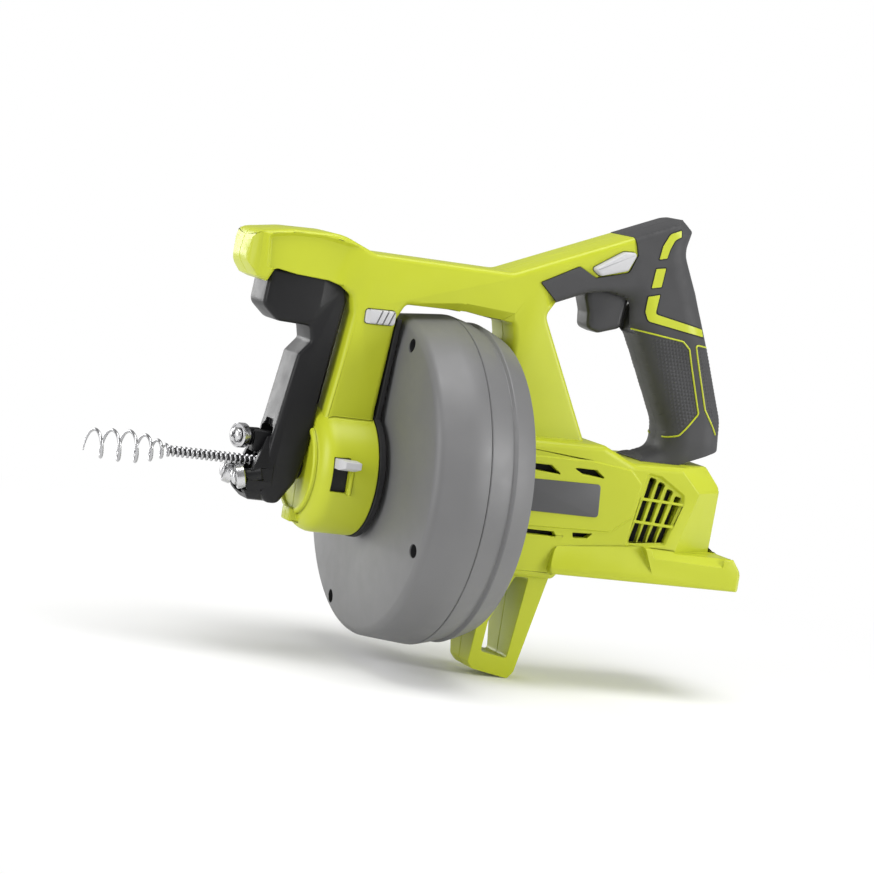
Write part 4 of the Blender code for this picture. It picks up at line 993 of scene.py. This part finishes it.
def lever():
    """The squeezed lever: block, stem and roller collar."""
    made = plate("stem", [*LEVER_FRONT, *LEVER_TOE, *LEVER_HEEL, *LEVER_BACK], 12.9, 2.4, 4)
    foot = [(-123.5, 40, 0), LEVER_FRONT[-1], *LEVER_TOE, *LEVER_HEEL, (-105.5, 38, 0)]
    join(made, plate("block", grown(LEVER_BLOCK, 0.15), 13.2, 3.4, 5),
         plate("foot", grown(foot, 0.12), 13.0, 2.4, 4), collar())
    cut(made, plate("hollow", LEVER_HOLLOW, 9.2, 1.5), block("top gap", (-150, -5.6, 8), (-126, 5.6, 24.5)))
    places = [(roller_centre(side), joint_axis(f"{side}_roller_spin")) for side in ("left", "right")]
    back = ROLLER_HALF + ROLLER_GAP
    for centre, axis in places:
        cut(made, rod("roller room", LOW_ROLLER + 0.8, centre + axis * 8.0, centre - axis * back))
    boss = [(0, 0), (0, 3.2), (0.5, 3.7), (9.0, 3.7), (9.0, 0)]
    for centre, axis in places:
        join(made, turned("boss", boss, 32, centre - axis * back, -axis))
    for centre, axis in places:
        cut(made, rod("screw way", 2.1, centre, centre - axis * 9.4))
    piece(made, "squeeze_lever", "lever", BLACK, ["feed_lever"], 0.45)


def clamp():
    """The slider with its faceted finger knob, and a dark plate of painted shade in the slot, which the
    knob runs over.
    """
    # painted shade: a dark sheet at the bottom of the slot, under the knob
    run = block("run", (-99.6, -33.4, -8.5), (-90.3, -32.4, 10.5), 0.2)
    piece(run, "clamp_slot_shade", "housing", SHADE)
    back = block("back", (-100.4, -29.0, -7.5), (-89.1, -27.4, 12.6), 0.3)
    piece(back, "clamp_slider_back", "slider", DARK)
    sections = ((-33.8, -99.2, -90.6, 4.4, 10.2), (-38.5, -99.2, -90.6, 4.4, 10.2),
                (-40.5, -99.2, -88.6, 4.4, 10.6), (-45.0, -96.6, -87.0, 6.0, 9.8))
    rings = [[(x0, y, z0), (x1, y, z0), (x1, y, z1), (x0, y, z1)] for y, x0, x1, z0, z1 in sections]
    piece(loft("knob", rings), "clamp_knob", "slider", PALE, ["clamp_slider"], 0.5)


def shield():
    """The thin black plate between the drum and the nose and column."""
    ring = turned("shield", [(-72.7, 18.0), (-72.7, 36.6), (-72.3, 37.0), (-69.6, 37.0), (-69.2, 36.6),
                             (-69.2, 18.0)])
    strip = plate("strip", [(-72.3, 27, 0), (-72.3, 30, 0), (-68.2, 90, 0), (-65.4, 90, 0), (-69.1, 36, 0),
                            (-69.1, 27, 0)], 17.4, 0.4, 1)
    piece(join(ring, strip), "drum_side_shield", "housing", SHADE, ["drum_shield"])


# Switches and labels

def switches():
    """Auto-feed switch with its slanted grooves, direction button and trigger."""
    feed = prism("switch", AUTO_SWITCH, -20.4, 15.5, 1.0)
    low, high = 84.5, 95.5
    for index in range(4):
        x = -82.6 + index * 3.6
        groove = [(x, low), (x + 1.1, low), (x + 5.1, high), (x + 4.0, high)]
        bottom = [(x + 0.25, low), (x + 0.85, low), (x + 4.85, high), (x + 4.25, high)]
        cut(feed, loft("groove", [at_y(-20.9, groove), at_y(-19.8, bottom)]))
    facet = [at_y(y, [(-90, 84), (x, 84), (x, 96), (-90, 96)]) for x, y in ((-84.0, -21.5), (-88.0, -18.6))]
    cut(feed, loft("facet", facet))
    piece(feed, "auto_feed_slider", "feed_switch", PALE, ["auto_feed_switch"], 0.3)
    button = plate("button", BUTTON, 21.8, 1.6, 4)
    piece(button, "direction_rocker", "direction", PALE, ["direction_button"])
    made = plate("trigger", TRIGGER, 9.2, 3.4, 6)
    piece(made, "pull_trigger", "trigger_body", TRIGGER_BLACK, ["trigger"])


def labels():
    """Plain plates, one on each side of the body."""
    made = side_prism("plate", LABEL_PLATE, -1, (BODY_HALF + 0.2, BODY_HALF + 1.6), 0.4, 2)
    pair(made, "plain_plate", LABEL, ["label_plate"])


# Pieces that the CAD already has right

CAD_SURFACES = {
    "stored_cable": WIRE, "drum_spindle": DARK, "gearbox_plate": DARK, "motor_can": MOTOR_STEEL,
    "motor_end_cap": DARK, "motor_rotor": COPPER, "cooling_fan": BLACK, "lever_spring": WIRE,
    "trigger_spring": WIRE, "switch_module": DARK, "terminal_block": DARK}


def repaint():
    """Gives every CAD node that stays its detailed material; the rest are bright steel."""
    for name, node in frame["nodes"].items():
        painted = CAD_SURFACES.get(name, STEEL)
        if node.data.materials:
            for index in range(len(node.data.materials)):
                node.data.materials[index] = painted
        else:
            node.data.materials.append(painted)


# Floor, light and camera

def floor():
    """A pale floor that fades into the white room away from the tool, like a sweep of paper."""
    made, shader, place = surface("pale floor", (0.86, 0.86, 0.86), 0.9)
    nodes = made.node_tree.nodes
    links = made.node_tree.links
    spread(made, noise(made, place, 3.0), 0.88, 0.92, shader.inputs["Roughness"])
    reach = nodes.new("ShaderNodeVectorMath")
    reach.operation = "LENGTH"
    links.new(place.outputs["Object"], reach.inputs[0])
    fade = nodes.new("ShaderNodeMapRange")
    fade.interpolation_type = "SMOOTHSTEP"
    put(fade, {"From Min": 0.15, "From Max": 0.65})
    links.new(reach.outputs["Value"], fade.inputs["Value"])
    glow = nodes.new("ShaderNodeEmission")
    blend = nodes.new("ShaderNodeMixShader")
    links.new(fade.outputs["Result"], blend.inputs["Fac"])
    links.new(shader.outputs["BSDF"], blend.inputs[1])
    links.new(glow.outputs["Emission"], blend.inputs[2])
    links.new(blend.outputs["Shader"], nodes["Material Output"].inputs["Surface"])
    bm = bmesh.new()
    bmesh.ops.create_grid(bm, x_segments=1, y_segments=1, size=30.0)
    obj = from_bmesh("floor", bm, outwards=False)
    obj.data.materials.append(made)


def area_light(name, offset, size, power):
    """A soft box at an offset from the spindle, aimed at it; sizes are in metres, power in watts."""
    data = bpy.data.lights.new(name, "AREA")
    data.shape = "RECTANGLE"
    data.size, data.size_y = size
    data.energy = power
    obj = linked(name, data)
    obj.location = SPINDLE + Vector(offset)
    obj.rotation_euler = (-Vector(offset)).to_track_quat("-Z", "Y").to_euler()


def studio():
    """A white room, seen white but lighting only softly, with four soft boxes round the tool."""
    world = bpy.data.worlds.new("studio")
    world.use_nodes = True
    nodes = world.node_tree.nodes
    background = nodes["Background"]
    rays = nodes.new("ShaderNodeLightPath")
    level = nodes.new("ShaderNodeMapRange")
    put(level, {"To Min": 0.34, "To Max": 1.0})
    world.node_tree.links.new(rays.outputs["Is Camera Ray"], level.inputs["Value"])
    world.node_tree.links.new(level.outputs["Result"], background.inputs["Strength"])
    put(background, {"Color": (1.0, 1.0, 1.0, 1.0)})
    scene = bpy.context.scene
    scene.world = world
    scene.view_settings.view_transform = "Standard"
    area_light("front box", (-1.6, -0.55, 0.55), (0.8, 1.2), 15)
    area_light("left box", (-0.9, 1.6, 0.25), (0.9, 1.4), 22)
    area_light("top box", (0.1, -0.3, 1.7), (1.4, 1.0), 22)
    area_light("rear box", (1.5, -1.1, 0.5), (0.8, 1.0), 21)


def camera():
    """A long lens to the tool's left, forward of it and above, rolled by nine degrees."""
    azimuth = math.radians(-24.32)
    elevation = math.radians(6.0)
    roll = math.radians(9.06)
    metres = 1.826
    level = math.cos(elevation)
    towards = Vector((math.sin(azimuth) * level, -math.cos(azimuth) * level, math.sin(elevation)))
    right = Vector((math.cos(azimuth), math.sin(azimuth), 0.0))
    up = towards.cross(right)
    turned_right = math.cos(roll) * right + math.sin(roll) * up
    turned_up = math.cos(roll) * up - math.sin(roll) * right
    data = bpy.data.cameras.new("camera")
    data.lens = 130.5
    data.sensor_width = 36.0
    data.shift_x = -0.0389
    data.shift_y = 0.0542
    data.clip_start = 0.01
    obj = linked("camera", data)
    turn = Matrix((turned_right, turned_up, towards)).transposed().to_4x4()
    obj.matrix_world = Matrix.Translation(SPINDLE + towards * metres) @ turn
    bpy.context.scene.camera = obj


repaint()
housing()
shade_screens()
grip()
drum()
cable()
rollers()
feed_head()
lever()
clamp()
shield()
switches()
labels()
floor()
studio()
camera()
bpy.context.view_layer.update()
